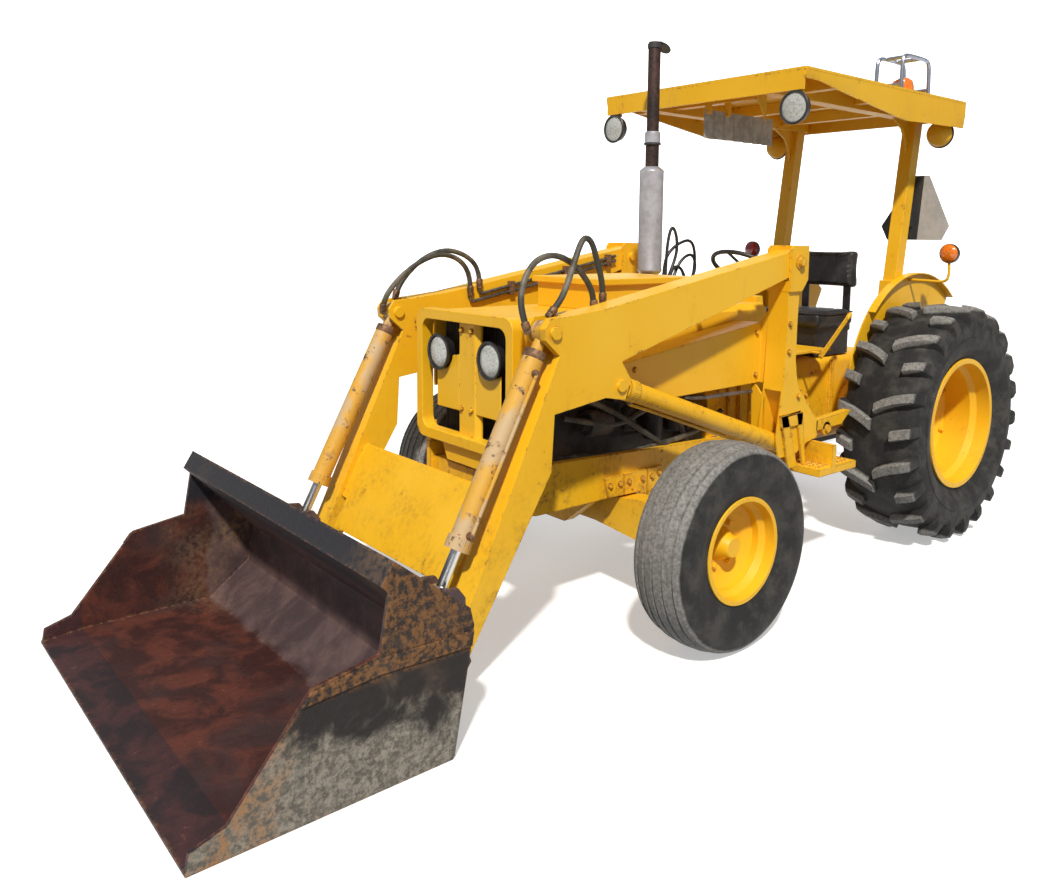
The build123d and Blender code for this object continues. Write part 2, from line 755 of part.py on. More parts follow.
# Fenders: plates inboard of the rear tyres with a narrow rolled edge
FENDER_IN = 432.0
FENDER_T = 8.0
FENDER_C = (1908.0, 790.0)
FENDER_R = 648.0
with BuildPart() as fenders:
    fender_front = (FENDER_C[0] - FENDER_R * cos(radians(8)), FENDER_C[1] - FENDER_R * sin(radians(8)))
    with BuildSketch(side_plane(FENDER_IN)):
        with BuildLine():
            top = ThreePointArc(
                fender_front,
                (FENDER_C[0] - FENDER_R * cos(radians(75)), FENDER_C[1] + FENDER_R * sin(radians(75))),
                (FENDER_C[0] + FENDER_R * cos(radians(50)), FENDER_C[1] + FENDER_R * sin(radians(50))),
            )
            Polyline(top @ 1, (2050, 760), (REAR_Y + 60, 740), (REAR_Y - 60, 740), top @ 0)
        make_face()
    extrude(amount=FENDER_T)
    mirror(about=Plane.YZ)
write(fenders, "fenders")

# Roll-over posts and canopy
with BuildPart() as rops_posts:
    with BuildSketch(along(POST_FOOT, POST_TOP, POST_X)):
        Rectangle(76, POST_DEPTH)
    extrude(amount=hypot(POST_TOP[0] - POST_FOOT[0], POST_TOP[1] - POST_FOOT[1]) + 20)
    split(bisect_by=Plane.XY.offset(FRAME_LOW), keep=Keep.BOTTOM)
    sleeve_foot = (1692.0, 752.0)
    with BuildSketch(along(sleeve_foot, between(POST_FOOT, POST_TOP, 60), FENDER_IN - 45)):
        Rectangle(90, 110)
    extrude(amount=640)
    with BuildSketch(Plane.XY.offset(745)):
        with Locations((FENDER_IN - 45, 1700)):
            Rectangle(90, 140)
    extrude(amount=18)
    mirror(about=Plane.YZ)
write(rops_posts, "rops_posts")

SHEET = 12.0
ROOF_MID = (ROOF_FRONT + ROOF_REAR) / 2
with BuildPart() as canopy_roof:
    with BuildSketch(Plane.XY.offset(ROOF_Z - SHEET)):
        with Locations((0, ROOF_MID)):
            RectangleRounded(2 * ROOF_HALF, ROOF_REAR - ROOF_FRONT, SHEET)
    extrude(amount=SHEET)
write(canopy_roof, "canopy_roof")

# The sheet's turned-down edges
with BuildPart() as roof_side_flanges:
    with BuildSketch(side_plane(ROOF_HALF - SHEET)):
        with BuildLine():
            Polyline(
                (ROOF_FRONT + SHEET, ROOF_Z - SHEET), (ROOF_REAR - SHEET, ROOF_Z - SHEET),
                (ROOF_REAR - SHEET, ROOF_Z - 100), (ROOF_FRONT + SHEET, ROOF_Z - 100),
                close=True,
            )
        make_face()
    extrude(amount=SHEET)
    mirror(about=Plane.YZ)
write(roof_side_flanges, "roof_side_flanges")

with BuildPart() as roof_end_flanges:
    for y in (ROOF_FRONT + SHEET / 2, ROOF_REAR - SHEET / 2):
        with BuildSketch(Plane.XY.offset(ROOF_Z - 100)):
            with Locations((0, y)):
                Rectangle(2 * ROOF_HALF - 2 * SHEET, SHEET)
        extrude(amount=100 - SHEET)
write(roof_end_flanges, "roof_end_flanges")

# Two beams along the roof, and the members across it that meet the beams' sides
BEAM_HALF = 40.0
with BuildPart() as canopy_frame:
    for side in (1, -1):
        with BuildSketch(Plane.XY.offset(FRAME_LOW)):
            with Locations((side * POST_X, ROOF_MID)):
                Rectangle(2 * BEAM_HALF, ROOF_REAR - ROOF_FRONT - 60)
        extrude(amount=80)
write(canopy_frame, "canopy_frame")

with BuildPart() as canopy_cross_members:
    wing = ROOF_HALF - 20 - POST_X - BEAM_HALF
    for y in (ROOF_FRONT + 260, ROOF_MID, ROOF_REAR - 300):
        with BuildSketch(Plane.XY.offset(ROOF_Z - 72)):
            with Locations((0, y)):
                Rectangle(2 * (POST_X - BEAM_HALF), 50)
            for side in (1, -1):
                with Locations((side * (POST_X + BEAM_HALF + wing / 2), y)):
                    Rectangle(wing, 50)
        extrude(amount=60)
write(canopy_cross_members, "canopy_cross_members")

# Work lamps under the roof's corners
with BuildPart() as work_lamps:
    for x, y, facing in ((582, 492, -1), (-582, 492, -1), (543, 1885, 1), (-543, 1885, 1)):
        with BuildSketch(wheel_plane(x, y - facing * 30, ROOF_Z - 175)):
            Circle(55)
        with BuildSketch(wheel_plane(x, y + facing * 34, ROOF_Z - 175)):
            Circle(74)
        loft()
        with BuildSketch(Plane.XY.offset(ROOF_Z - 130)):
            with Locations((x, y)):
                Rectangle(50, 30)
        extrude(amount=118)
write(work_lamps, "work_lamps")

# Beacon and its tube guard
BEACON = (370.0, 1790.0)
with BuildPart() as beacon:
    with BuildSketch(Plane.XY.offset(ROOF_Z)):
        with Locations(BEACON):
            Circle(75)
    extrude(amount=22)
    with BuildSketch(Plane.XY.offset(ROOF_Z + 22)):
        with Locations(BEACON):
            Circle(64)
    extrude(amount=120, taper=7)
write(beacon, "beacon")

with BuildPart() as beacon_guard:
    guard_h = 240.0
    guard_w = 190.0
    with BuildLine() as guard_path:
        FilletPolyline(
            (BEACON[0], BEACON[1] - guard_w, ROOF_Z),
            (BEACON[0], BEACON[1] - guard_w, ROOF_Z + guard_h),
            (BEACON[0], BEACON[1] + guard_w, ROOF_Z + guard_h),
            (BEACON[0], BEACON[1] + guard_w, ROOF_Z),
            radius=70,
        )
    with BuildSketch(Plane.XY.offset(ROOF_Z)):
        with Locations((BEACON[0], BEACON[1] - guard_w)):
            Circle(14)
    sweep(path=guard_path.line)
write(beacon_guard, "beacon_guard")

# Slow-vehicle triangle behind the left post
with BuildPart() as rear_triangle:
    with BuildSketch(wheel_plane(POST_X + 35, 1905, 1700)):
        with BuildLine():
            Polyline(
                (-165, -75), (165, -75), (205, 5), (75, 290), (-15, 290), (-205, 5),
                close=True,
            )
        make_face()
    extrude(amount=-4)
    with BuildSketch(side_plane(POST_X - 25)):
        with BuildLine():
            Polyline((post_rear(1700) + SEAT, 1700), (1905, 1700), (1905, 1780), (post_rear(1780) + SEAT, 1780),
                     close=True)
        make_face()
    extrude(amount=50)
write(rear_triangle, "rear_triangle")

# Seat
SEAT_Y = 1500.0
with BuildPart() as seat_frame:
    with BuildSketch(Plane.XY.offset(GEARBOX_TOP)):
        with Locations((0, SEAT_Y + 10)):
            Rectangle(340, 340)
    extrude(amount=FLOOR_Z + 110 - GEARBOX_TOP)
write(seat_frame, "seat_frame")
with BuildPart() as seat_cushion:
    with BuildSketch(Plane.XY.offset(FLOOR_Z + 110)):
        with Locations((0, SEAT_Y - 20)):
            RectangleRounded(460, 400, 60)
    extrude(amount=100)
write(seat_cushion, "seat_cushion")
with BuildPart() as seat_back:
    with BuildSketch(wheel_plane(0, 1640, 1450)):
        RectangleRounded(430, 240, 60)
    extrude(amount=-90)
    with BuildSketch(wheel_plane(0, 1690, 1230)):
        with Locations((140, 0), (-140, 0)):
            Rectangle(45, 260)
    extrude(amount=-20)
    with BuildSketch(wheel_plane(0, 1680, 1110)):
        Rectangle(330, 40)
    extrude(amount=-30)
write(seat_back, "seat_back")

# Console, steering column and wheel
with BuildPart() as console:
    with BuildSketch(side_plane(-230)):
        with BuildLine():
            Polyline((HOOD_REAR, FLOOR_Z + 12), (HOOD_REAR + 120, FLOOR_Z + 12), (HOOD_REAR + 60, 1330),
                     (HOOD_REAR, 1330), close=True)
        make_face()
    extrude(amount=460)
write(console, "console")

COLUMN_FOOT = (760.0, 1180.0)
COLUMN_TOP = (920.0, 1455.0)
with BuildPart() as steering_wheel:
    column = along(COLUMN_FOOT, COLUMN_TOP, 0)
    column_length = hypot(COLUMN_TOP[0] - COLUMN_FOOT[0], COLUMN_TOP[1] - COLUMN_FOOT[1])
    with BuildSketch(column.offset(70)):
        Circle(22)
    extrude(amount=column_length - 70)
    with BuildSketch(column.offset(column_length - 12)):
        Circle(205)
        Circle(182, mode=Mode.SUBTRACT)
        for turn in (90, 210, 330):
            with Locations(Location((0, 0), turn)):
                with Locations((95, 0)):
                    Rectangle(185, 24)
    extrude(amount=22)
write(steering_wheel, "steering_wheel")

# Lamps on bent rod brackets, out over the fenders
LAMP_AT = (668.0, 1852.0, 1552.0)
with BuildPart() as fender_lamps:
    for side in (1, -1):
        with BuildLine() as bracket:
            FilletPolyline(
                (side * (FENDER_IN + FENDER_T), LAMP_AT[1], 1398),
                (side * LAMP_AT[0], LAMP_AT[1], 1398),
                (side * LAMP_AT[0], LAMP_AT[1], LAMP_AT[2] - 30),
                radius=40,
            )
        with BuildSketch(side_plane(side * (FENDER_IN + FENDER_T))):
            with Locations((LAMP_AT[1], 1398)):
                Circle(11)
        sweep(path=bracket.line)
        with BuildSketch(wheel_plane(side * LAMP_AT[0], LAMP_AT[1] - 32, LAMP_AT[2])):
            Circle(52)
        extrude(amount=-64)
write(fender_lamps, "fender_lamps")

# Loader arms: two goose-neck box beams and the plate between their legs
ARM_EYE_R = 55.0
SLOT_HALF = EYE_W / 2 + PLAY
TILT_PIN_R = 24.0
PLATE_FOOT = 450.0
with BuildPart() as loader_arms:
    with BuildSketch(side_plane(ARM_IN)):
        with BuildLine():
            Polyline(
                (ARM_PIN[0], ARM_PIN[1] + ARM_EYE_R),
                (-694, 1355),
                (-880, 1335),
                (-985, 1328),
                (-1012, 1290),
                (-1008, 1250),
                (-940, 1190),
                (-1130, 790),
                (-1325, 376),
                (-1448, 190),
                (-1440, 130),
                (-1372, 115),
                (-1230, 346),
                (-974, 762),
                (-961, 976),
                (-705, 1010),
                (-600, 990),
                (-570, 1070),
                (-620, 1143),
                (ARM_PIN[0], ARM_PIN[1] - ARM_EYE_R),
                close=True,
            )
        make_face()
        with Locations(ARM_PIN, BUCKET_PIN):
            Circle(ARM_EYE_R)
    extrude(amount=ARM_OUT - ARM_IN)
    with BuildSketch(side_plane(ARM_IN)):
        with Locations(ARM_PIN, BUCKET_PIN):
            Circle(ARM_PIN_R + RUN)
    extrude(amount=ARM_OUT - ARM_IN, mode=Mode.SUBTRACT)
    # Slots between the ears, for the tilt barrel and the lift rod
    with BuildSketch(side_plane(TILT_X - SLOT_HALF)):
        with BuildLine():
            Polyline((-1060, 1360), (-900, 1360), (-885, 1210), (-1020, 1080), (-1110, 1180), close=True)
        make_face()
    extrude(amount=2 * SLOT_HALF, mode=Mode.SUBTRACT)
    with BuildSketch(side_plane(ARM_X - SLOT_HALF)):
        with BuildLine():
            Polyline((-720, 940), (-700, 1090), (-620, 1143), (-520, 1143), (-520, 940), close=True)
        make_face()
    extrude(amount=2 * SLOT_HALF, mode=Mode.SUBTRACT)
    with BuildSketch(side_plane(ARM_IN - 12)):
        with Locations(TILT_PIN):
            Circle(TILT_PIN_R)
    extrude(amount=ARM_OUT - ARM_IN + 24)
    # The lift pin's two ends; its middle is in the rod's eye
    for low in (ARM_IN - 12, ARM_OUT):
        with BuildSketch(side_plane(low)):
            with Locations(LIFT_PIN):
                Circle(TILT_PIN_R)
        extrude(amount=12)
    mirror(about=Plane.YZ)
    # Torque plate, narrower below, where the bucket's inner lugs swing past it
    with BuildSketch(side_plane(-ARM_IN)):
        with BuildLine():
            Polyline((-1140, 690), (-1120, 690), (-1235, 473), (-1257, 473), close=True)
        make_face()
    extrude(amount=2 * ARM_IN)
    with BuildSketch(side_plane(-PLATE_FOOT)):
        with BuildLine():
            Polyline((-1257, 473), (-1235, 473), (-1300, 350), (-1320, 360), close=True)
        make_face()
    extrude(amount=2 * PLATE_FOOT)
write(loader_arms, "loader_arms")

# Bucket
with BuildPart() as bucket:
    outline = [
        (EDGE_Y, 0), (-1573, 0), (-1566, 11), (-1492, 416), (-1506, 474), (-1775, 687),
        (-1817, 619), (-1525, 308), (-1552, 156), (-1724, 26), (EDGE_Y + 150, 26), (EDGE_Y, 12),
    ]
    with BuildSketch(side_plane(-BUCKET_HALF)):
        with BuildLine():
            Polyline(*outline, close=True)
        make_face()
    extrude(amount=2 * BUCKET_HALF)
    for side in (1, -1):
        x = BUCKET_HALF - 16 if side > 0 else -BUCKET_HALF
        with BuildSketch(side_plane(x)):
            with BuildLine():
                Polyline(
                    (EDGE_Y + 3, 12), (EDGE_Y + 12, 60), (EDGE_Y + 110, 90), (-2032, 386), (-1823, 418),
                    (-1775, 687), (-1506, 474), (-1492, 416), (-1573, 11), (EDGE_Y + 3, 0),
                    close=True,
                )
            make_face()
        extrude(amount=16)
    # Lugs for the arm pins and for the tilt rods
    for side in (1, -1):
        for x in (ARM_IN - PLAY - EAR, ARM_OUT + PLAY):
            low = x if side > 0 else -x - EAR
            with BuildSketch(side_plane(low)):
                with BuildLine():
                    Polyline((-1556, 90), (-1385, 110), (-1345, 165), (-1362, 212), (-1370, 400),
                             (-1400, 440), (-1450, 446), (-1492, 416), close=True)
                make_face()
            extrude(amount=EAR)
        with BuildSketch(side_plane(side * (ARM_IN - PLAY - EAR - 14))):
            with Locations(BUCKET_PIN):
                Circle(ARM_PIN_R)
        extrude(amount=side * (ARM_OUT - ARM_IN + 2 * (PLAY + EAR + 14)))
write(bucket, "bucket")

# Cylinders: barrels with their bores, and rods, on each side
lift_length = hypot(LIFT_PIN[0] - LIFT_BASE[0], LIFT_PIN[1] - LIFT_BASE[1])
tilt_length = hypot(LUG_PIN[0] - TILT_PIN[0], LUG_PIN[1] - TILT_PIN[1])
LIFT_EYE_R = 40.0
TILT_EYE_R = 36.0
for name, side in (("left", 1), ("right", -1)):
    lift_x = side * ARM_X
    tilt_x = side * TILT_X
    with BuildPart() as lift_barrel:
        barrel_line = along(LIFT_BASE, LIFT_PIN, lift_x)
        with BuildSketch(side_plane(lift_x - EYE_W / 2)):
            with Locations(LIFT_BASE):
                Circle(LIFT_EYE_R)
        extrude(amount=EYE_W)
        with BuildSketch(barrel_line.offset(30)):
            Circle(LIFT_BARREL_R)
        extrude(amount=lift_length - LIFT_GLAND - 30)
        with BuildSketch(barrel_line.offset(lift_length - LIFT_GLAND - 60)):
            Circle(LIFT_BARREL_R + 5)
        extrude(amount=60)
        with BuildSketch(barrel_line.offset(80)):
            Circle(LIFT_ROD_R + RUN)
        extrude(amount=lift_length, mode=Mode.SUBTRACT)
        with BuildSketch(side_plane(lift_x - EYE_W / 2)):
            with Locations(LIFT_BASE):
                Circle(ARM_PIN_R + RUN)
        extrude(amount=EYE_W, mode=Mode.SUBTRACT)
    write(lift_barrel, "lift_barrel_" + name)

    with BuildPart() as lift_rod:
        with BuildSketch(side_plane(lift_x - EYE_W / 2)):
            with Locations(LIFT_PIN):
                Circle(LIFT_EYE_R)
        extrude(amount=EYE_W)
        with BuildSketch(along(LIFT_PIN, LIFT_BASE, lift_x).offset(36)):
            Circle(LIFT_ROD_R)
        extrude(amount=lift_length - 36 - 90)
    write(lift_rod, "lift_rod_" + name)

    with BuildPart() as tilt_barrel:
        tilt_line = along(TILT_PIN, LUG_PIN, tilt_x)
        with BuildSketch(side_plane(tilt_x - EYE_W / 2)):
            with Locations(TILT_PIN):
                Circle(TILT_EYE_R + 6)
        extrude(amount=EYE_W)
        with BuildSketch(tilt_line.offset(78)):
            Circle(TILT_BARREL_R)
        extrude(amount=TILT_GLAND - 78)
        with BuildSketch(tilt_line.offset(30)):
            Circle(23)
        extrude(amount=60)
        with BuildSketch(tilt_line.offset(TILT_GLAND - 45)):
            Circle(TILT_BARREL_R + 7)
        extrude(amount=45)
        with BuildSketch(tilt_line.offset(120)):
            Circle(TILT_ROD_R + RUN)
        extrude(amount=TILT_GLAND, mode=Mode.SUBTRACT)
        with BuildSketch(side_plane(tilt_x - EYE_W / 2)):
            with Locations(TILT_PIN):
                Circle(TILT_PIN_R + RUN)
        extrude(amount=EYE_W, mode=Mode.SUBTRACT)
    write(tilt_barrel, "tilt_barrel_" + name)

    with BuildPart() as tilt_rod:
        with BuildSketch(side_plane(tilt_x - EYE_W / 2)):
            with Locations(LUG_PIN):
                Circle(TILT_EYE_R)
        extrude(amount=EYE_W)
        with BuildSketch(along(LUG_PIN, TILT_PIN, tilt_x).offset(30)):
            Circle(TILT_ROD_R)
        extrude(amount=tilt_length - 30 - 220)
    write(tilt_rod, "tilt_rod_" + name)
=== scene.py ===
# %% [markdown]
# # A worn yellow loader tractor
# The machine arrives as plain solids: wheels, arms, bucket, masts, bonnet and canopy, each at its real
# place and size in metres. This lesson dresses them. The bucket points to -Y, the machine's left side is +X
# and +Z is up. We start by loading the solids.

from math import cos, pi, radians, sin

import bmesh
import bpy
from mathutils import Matrix, Vector


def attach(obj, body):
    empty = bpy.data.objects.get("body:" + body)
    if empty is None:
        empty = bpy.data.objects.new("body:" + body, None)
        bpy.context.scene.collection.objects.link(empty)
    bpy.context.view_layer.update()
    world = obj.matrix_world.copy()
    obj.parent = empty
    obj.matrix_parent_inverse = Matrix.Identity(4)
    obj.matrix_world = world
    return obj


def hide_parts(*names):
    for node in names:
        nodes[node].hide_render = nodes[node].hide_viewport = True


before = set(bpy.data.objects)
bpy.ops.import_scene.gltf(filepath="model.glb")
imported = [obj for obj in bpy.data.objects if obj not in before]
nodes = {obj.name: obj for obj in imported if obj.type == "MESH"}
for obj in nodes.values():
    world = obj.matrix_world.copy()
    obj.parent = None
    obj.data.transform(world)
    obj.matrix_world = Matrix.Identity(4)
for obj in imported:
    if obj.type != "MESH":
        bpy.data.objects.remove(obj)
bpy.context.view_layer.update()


# %% [markdown]
# ## The view
# The photograph was taken standing at the machine's left front corner, with a wide lens held level at about
# eye height. A camera is a place, three angles and a focal length. The image had been cropped from a larger
# one, so the lens is also shifted a little.

# %% Camera
PHOTO = (1038, 889)
FOCAL_PX = 891.634
CENTRE_PX = (33.78, -106.36)
CAMERA_AT = (3.0195, -3.0415, 1.6197)
YAW, PITCH, ROLL = 0.864, 0.1131, 0.0111
SENSOR_MM = 36.0

back = Vector((sin(YAW) * cos(PITCH), -cos(YAW) * cos(PITCH), sin(PITCH)))
level_right = (-back).cross(Vector((0, 0, 1))).normalized()
level_up = level_right.cross(-back)
right = level_right * cos(ROLL) + level_up * sin(ROLL)
up = level_up * cos(ROLL) - level_right * sin(ROLL)
camera = bpy.data.objects.new("camera", bpy.data.cameras.new("camera"))
camera.matrix_world = Matrix.Translation(CAMERA_AT) @ Matrix((right, up, back)).transposed().to_4x4()
camera.data.sensor_width = SENSOR_MM
camera.data.lens = FOCAL_PX / PHOTO[0] * SENSOR_MM
camera.data.shift_x = -CENTRE_PX[0] / PHOTO[0]
camera.data.shift_y = CENTRE_PX[1] / PHOTO[0]
bpy.context.scene.collection.objects.link(camera)
bpy.context.scene.camera = camera
print("lens:", round(camera.data.lens, 2), "mm")


# %% [markdown]
# ## Floor and light
# A pale floor meets a white backdrop with no line between them, because both glow a little. The backdrop is
# seen by the camera alone and throws no light of its own. One hard sun, high over the machine's left
# shoulder, makes the short shadows of an open yard, a pale sky fills them, and a weak lamp draws the rear
# edges.

# %% Floor, backdrop and lamps
SUN_FROM = (6.0, -5.5, 9.0)
SUN_WATTS = 4.1
SKY = 0.36
BACKDROP_R = 38.0

sun = bpy.data.objects.new("sun", bpy.data.lights.new("sun", "SUN"))
sun.data.energy = SUN_WATTS
sun.data.angle = radians(3.0)
sun.data.color = (1.0, 0.965, 0.90)
sun.rotation_euler = (-Vector(SUN_FROM)).to_track_quat("-Z", "Y").to_euler()
bpy.context.scene.collection.objects.link(sun)

rim_lamp = bpy.data.objects.new("rim_lamp", bpy.data.lights.new("rim_lamp", "AREA"))
rim_lamp.data.size = 4.0
rim_lamp.data.energy = 160
rim_lamp.location = (-5.0, 7.0, 6.0)
rim_lamp.rotation_euler = (Vector((0, 0.5, 1.2)) - rim_lamp.location).to_track_quat("-Z", "Y").to_euler()
bpy.context.scene.collection.objects.link(rim_lamp)

world = bpy.data.worlds.new("sky")
world.use_nodes = True
world.node_tree.nodes["Background"].inputs["Color"].default_value = (0.93, 0.96, 1.0, 1)
world.node_tree.nodes["Background"].inputs["Strength"].default_value = SKY
bpy.context.scene.world = world
bpy.context.scene.view_settings.view_transform = "Standard"


def stage_sheet(name, made, glow):
    """A pale sheet of the set, which glows a little of its own."""
    material = bpy.data.materials.new(name)
    material.use_nodes = True
    shader = material.node_tree.nodes["Principled BSDF"]
    shader.inputs["Base Color"].default_value = (0.72, 0.72, 0.72, 1)
    shader.inputs["Roughness"].default_value = 0.9
    shader.inputs["Emission Color"].default_value = (1, 1, 1, 1)
    shader.inputs["Emission Strength"].default_value = glow
    sheet = bpy.data.objects.new(name, bpy.data.meshes.new(name))
    made.to_mesh(sheet.data)
    made.free()
    sheet.data.materials.append(material)
    bpy.context.scene.collection.objects.link(sheet)
    return sheet


floor_mesh = bmesh.new()
bmesh.ops.create_circle(floor_mesh, cap_ends=True, radius=BACKDROP_R, segments=64)
floor = stage_sheet("floor", floor_mesh, 0.40)
floor.visible_diffuse = False
dome_mesh = bmesh.new()
bmesh.ops.create_uvsphere(dome_mesh, u_segments=48, v_segments=24, radius=BACKDROP_R)
backdrop = stage_sheet("backdrop", dome_mesh, 1.2)
backdrop.visible_diffuse = False
backdrop.visible_glossy = False
backdrop.visible_transmission = False
backdrop.visible_shadow = False
print("stage: floor and backdrop", 2 * BACKDROP_R, "m across")


# %% [markdown]
# ## Writing materials as sums
# A node material is arithmetic: noise times wear, plus dirt, less what the weather washed off. The small
# class below wraps one socket so that such sums can be written as sums. Each sum adds its Math nodes to the
# tree.

# %% The wire class
class Wire:
    """An output socket that can be added, multiplied and compared."""

    def __init__(self, finish, socket):
        self.finish, self.socket = finish, socket

    def math(self, operation, other, swapped=False):
        first, second = (other, self) if swapped else (self, other)
        return self.finish.node("ShaderNodeMath", {"operation": operation}, {0: first, 1: second})

    def __add__(self, other):
        return self.math("ADD", other)

    def __radd__(self, other):
        return self.math("ADD", other, True)

    def __sub__(self, other):
        return self.math("SUBTRACT", other)

    def __rsub__(self, other):
        return self.math("SUBTRACT", other, True)

    def __mul__(self, other):
        return self.math("MULTIPLY", other)

    def __rmul__(self, other):
        return self.math("MULTIPLY", other, True)

    def __truediv__(self, other):
        return self.math("DIVIDE", other)

    def low(self, other):
        return self.math("MINIMUM", other)


    def step(self, start, end, to=(0.0, 1.0)):
        """A smooth change from to[0] to to[1] as the value goes from start to end."""
        return self.finish.node(
            "ShaderNodeMapRange", {"interpolation_type": "SMOOTHSTEP"},
            {"Value": self, "From Min": start, "From Max": end, "To Min": to[0], "To Max": to[1]})


class Finish:
    """A material being built: a principled shader, and methods that add nodes to its tree."""

    def __init__(self, name, **sockets):
        self.material = bpy.data.materials.new(name)
        self.material.use_nodes = True
        self.tree = self.material.node_tree
        self.shader = self.tree.nodes["Principled BSDF"]
        self.place = self.node("ShaderNodeTexCoord", out="Object")
        self.set(**sockets)

    def join(self, value, socket):
        if isinstance(value, Wire):
            self.tree.links.new(value.socket, socket)
        elif socket.type == "RGBA" and len(value) == 3:
            socket.default_value = (*value, 1)
        else:
            socket.default_value = value

    def node(self, kind, settings=None, inputs=None, out=0):
        added = self.tree.nodes.new(kind)
        for key, value in (settings or {}).items():
            setattr(added, key, value)
        for key, value in (inputs or {}).items():
            self.join(value, added.inputs[key])
        return Wire(self, added.outputs[out])

    def set(self, **sockets):
        """Sets the principled shader's sockets: set(base_color=..., roughness=...)."""
        for key, value in sockets.items():
            name = key.replace("_", " ").title().replace("Ior", "IOR")
            self.join(value, self.shader.inputs[name])

    def stretched(self, x=1.0, y=1.0, z=1.0):
        return self.node("ShaderNodeMapping", {}, {"Vector": self.place, "Scale": (x, y, z)})

    def noise(self, scale, detail=4.0, rough=0.55, warp=0.0, at=None):
        return self.node("ShaderNodeTexNoise", {}, {
            "Vector": at or self.place, "Scale": scale, "Detail": detail, "Roughness": rough,
            "Distortion": warp})

    def cells(self, scale):
        return self.node("ShaderNodeTexVoronoi", {}, {"Vector": self.place, "Scale": scale}, "Distance")

    def axis(self, letter):
        return self.node("ShaderNodeSeparateXYZ", {}, {0: self.place}, letter)

    def mix(self, factor, first, second, blend="MIX"):
        mixed = self.node("ShaderNodeMix", {"data_type": "RGBA", "blend_type": blend}, {0: factor}, 2)
        self.join(first, mixed.socket.node.inputs[6])
        self.join(second, mixed.socket.node.inputs[7])
        return mixed

    def edges(self, radius):
        """Near 1 on a sharp edge or in a corner, and 0 on a flat."""
        rounded = self.node("ShaderNodeBevel", {"samples": 4}, {"Radius": radius})
        true = self.node("ShaderNodeNewGeometry", out="Normal")
        same = self.node("ShaderNodeVectorMath", {"operation": "DOT_PRODUCT"}, {0: rounded, 1: true}, "Value")
        return (1.0 - same).step(0.01, 0.18)

    def upward(self):
        return self.node("ShaderNodeSeparateXYZ", {}, {
            0: self.node("ShaderNodeNewGeometry", out="Normal")}, "Z")

    def bump(self, height, distance, strength=1.0):
        self.set(normal=self.node("ShaderNodeBump", {}, {
            "Height": height, "Distance": distance, "Strength": strength}))


# %% [markdown]
# ## Old yellow paint
# The machine was brushed yellow more than once. The paint is faded on top, greasy brown low down and around
# the joints, streaked by rain, and chipped to rust along every edge. Each of these is one mask, and the
# masks are laid over each other in the order in which they happened.

# %% Yellow paint
PAINT = (0.80, 0.425, 0.006)
PAINT_FADED = (0.86, 0.52, 0.035)
PAINT_DEEP = (0.60, 0.27, 0.006)
RUST = (0.085, 0.030, 0.014)
RUST_LIGHT = (0.30, 0.12, 0.035)
GRIME = (0.045, 0.030, 0.018)


def yellow_paint(name, wear=0.5, dirt=0.5, faded=0.5):
    f = Finish(name, specular_ior_level=0.45)
    broad = f.noise(1.7, 3, 0.5)
    cloudy = f.noise(6.0, 5, 0.6)
    fine = f.noise(42.0, 4, 0.62)
    colour = f.mix(broad.step(0.35, 0.7) * faded, PAINT, PAINT_FADED)
    colour = f.mix(cloudy.step(0.52, 0.78) * 0.5 * dirt, colour, PAINT_DEEP)
    streaks = f.noise(9.0, 4, 0.6, at=f.stretched(5.0, 5.0, 0.5)).step(0.54, 0.82)
    colour = f.mix((streaks * cloudy.step(0.35, 0.65) * 0.5 * dirt).low(1.0), colour, RUST_LIGHT)
    edge = f.edges(0.011)
    chips = (fine * 0.6 + cloudy * 0.4 + edge * 0.20 * wear).step(0.655 - 0.03 * wear, 0.685 - 0.03 * wear)
    halo = (fine * 0.5 + cloudy * 0.5 + edge * 0.20 * wear).step(0.56 - 0.02 * wear, 0.68)
    colour = f.mix(halo * 0.30 * dirt, colour, RUST_LIGHT)
    colour = f.mix(chips, colour, f.mix(f.noise(80, 3), RUST, RUST_LIGHT))
    speck = f.cells(70.0).step(0.10, 0.04) * cloudy.step(0.5, 0.7) * dirt
    colour = f.mix(speck, colour, GRIME)
    grime = (f.axis("Z").step(1.0, 0.35) * fine.step(0.35, 0.7) * cloudy.step(0.35, 0.7) * dirt).low(1.0)
    colour = f.mix(grime * 0.6, colour, GRIME)
    f.set(base_color=colour, roughness=0.36 + cloudy * 0.22 + chips * 0.35 + grime * 0.2)
    f.bump(cloudy * 0.5 + fine * 0.15 - chips * 0.5, 0.0016, 0.6)
    return f.material


def peeled_barrel(name):
    """A cylinder whose yellow has peeled to pale primer, with dark greasy patches."""
    f = Finish(name, specular_ior_level=0.5)
    cloudy = f.noise(7.0, 5, 0.6, at=f.stretched(1.4, 0.7, 0.7))
    patch = f.noise(16.0, 5, 0.65)
    fine = f.noise(60.0, 4, 0.6)
    colour = f.mix(cloudy.step(0.44, 0.56), (0.62, 0.33, 0.04), (0.52, 0.36, 0.19))
    colour = f.mix(patch.step(0.56, 0.66), colour, (0.30, 0.16, 0.07))
    colour = f.mix((patch * 0.5 + fine * 0.5).step(0.57, 0.63), colour, (0.050, 0.030, 0.022))
    f.set(base_color=colour, roughness=0.45 + fine * 0.3)
    f.bump(fine * 0.5 + patch * 0.5, 0.0015, 0.7)
    return f.material


# %% [markdown]
# ## The bucket's steel
# The bucket has lost nearly all its paint. Its floor is dark red-brown, the sheet behind it greyer, the
# cutting edge nearly black, and outside its ends are scuffed to a chalky grey low down. High up, under the
# lip, the sheet is painted near-black as painted shade. Masks on the part's own X, Y and Z tell these places
# from each other, and noise breaks every border.

# %% Bucket steel
BUCKET_SIDE = 0.845
EDGE_STRIP_Y = -2.235
FLOOR_END_Y = -1.74


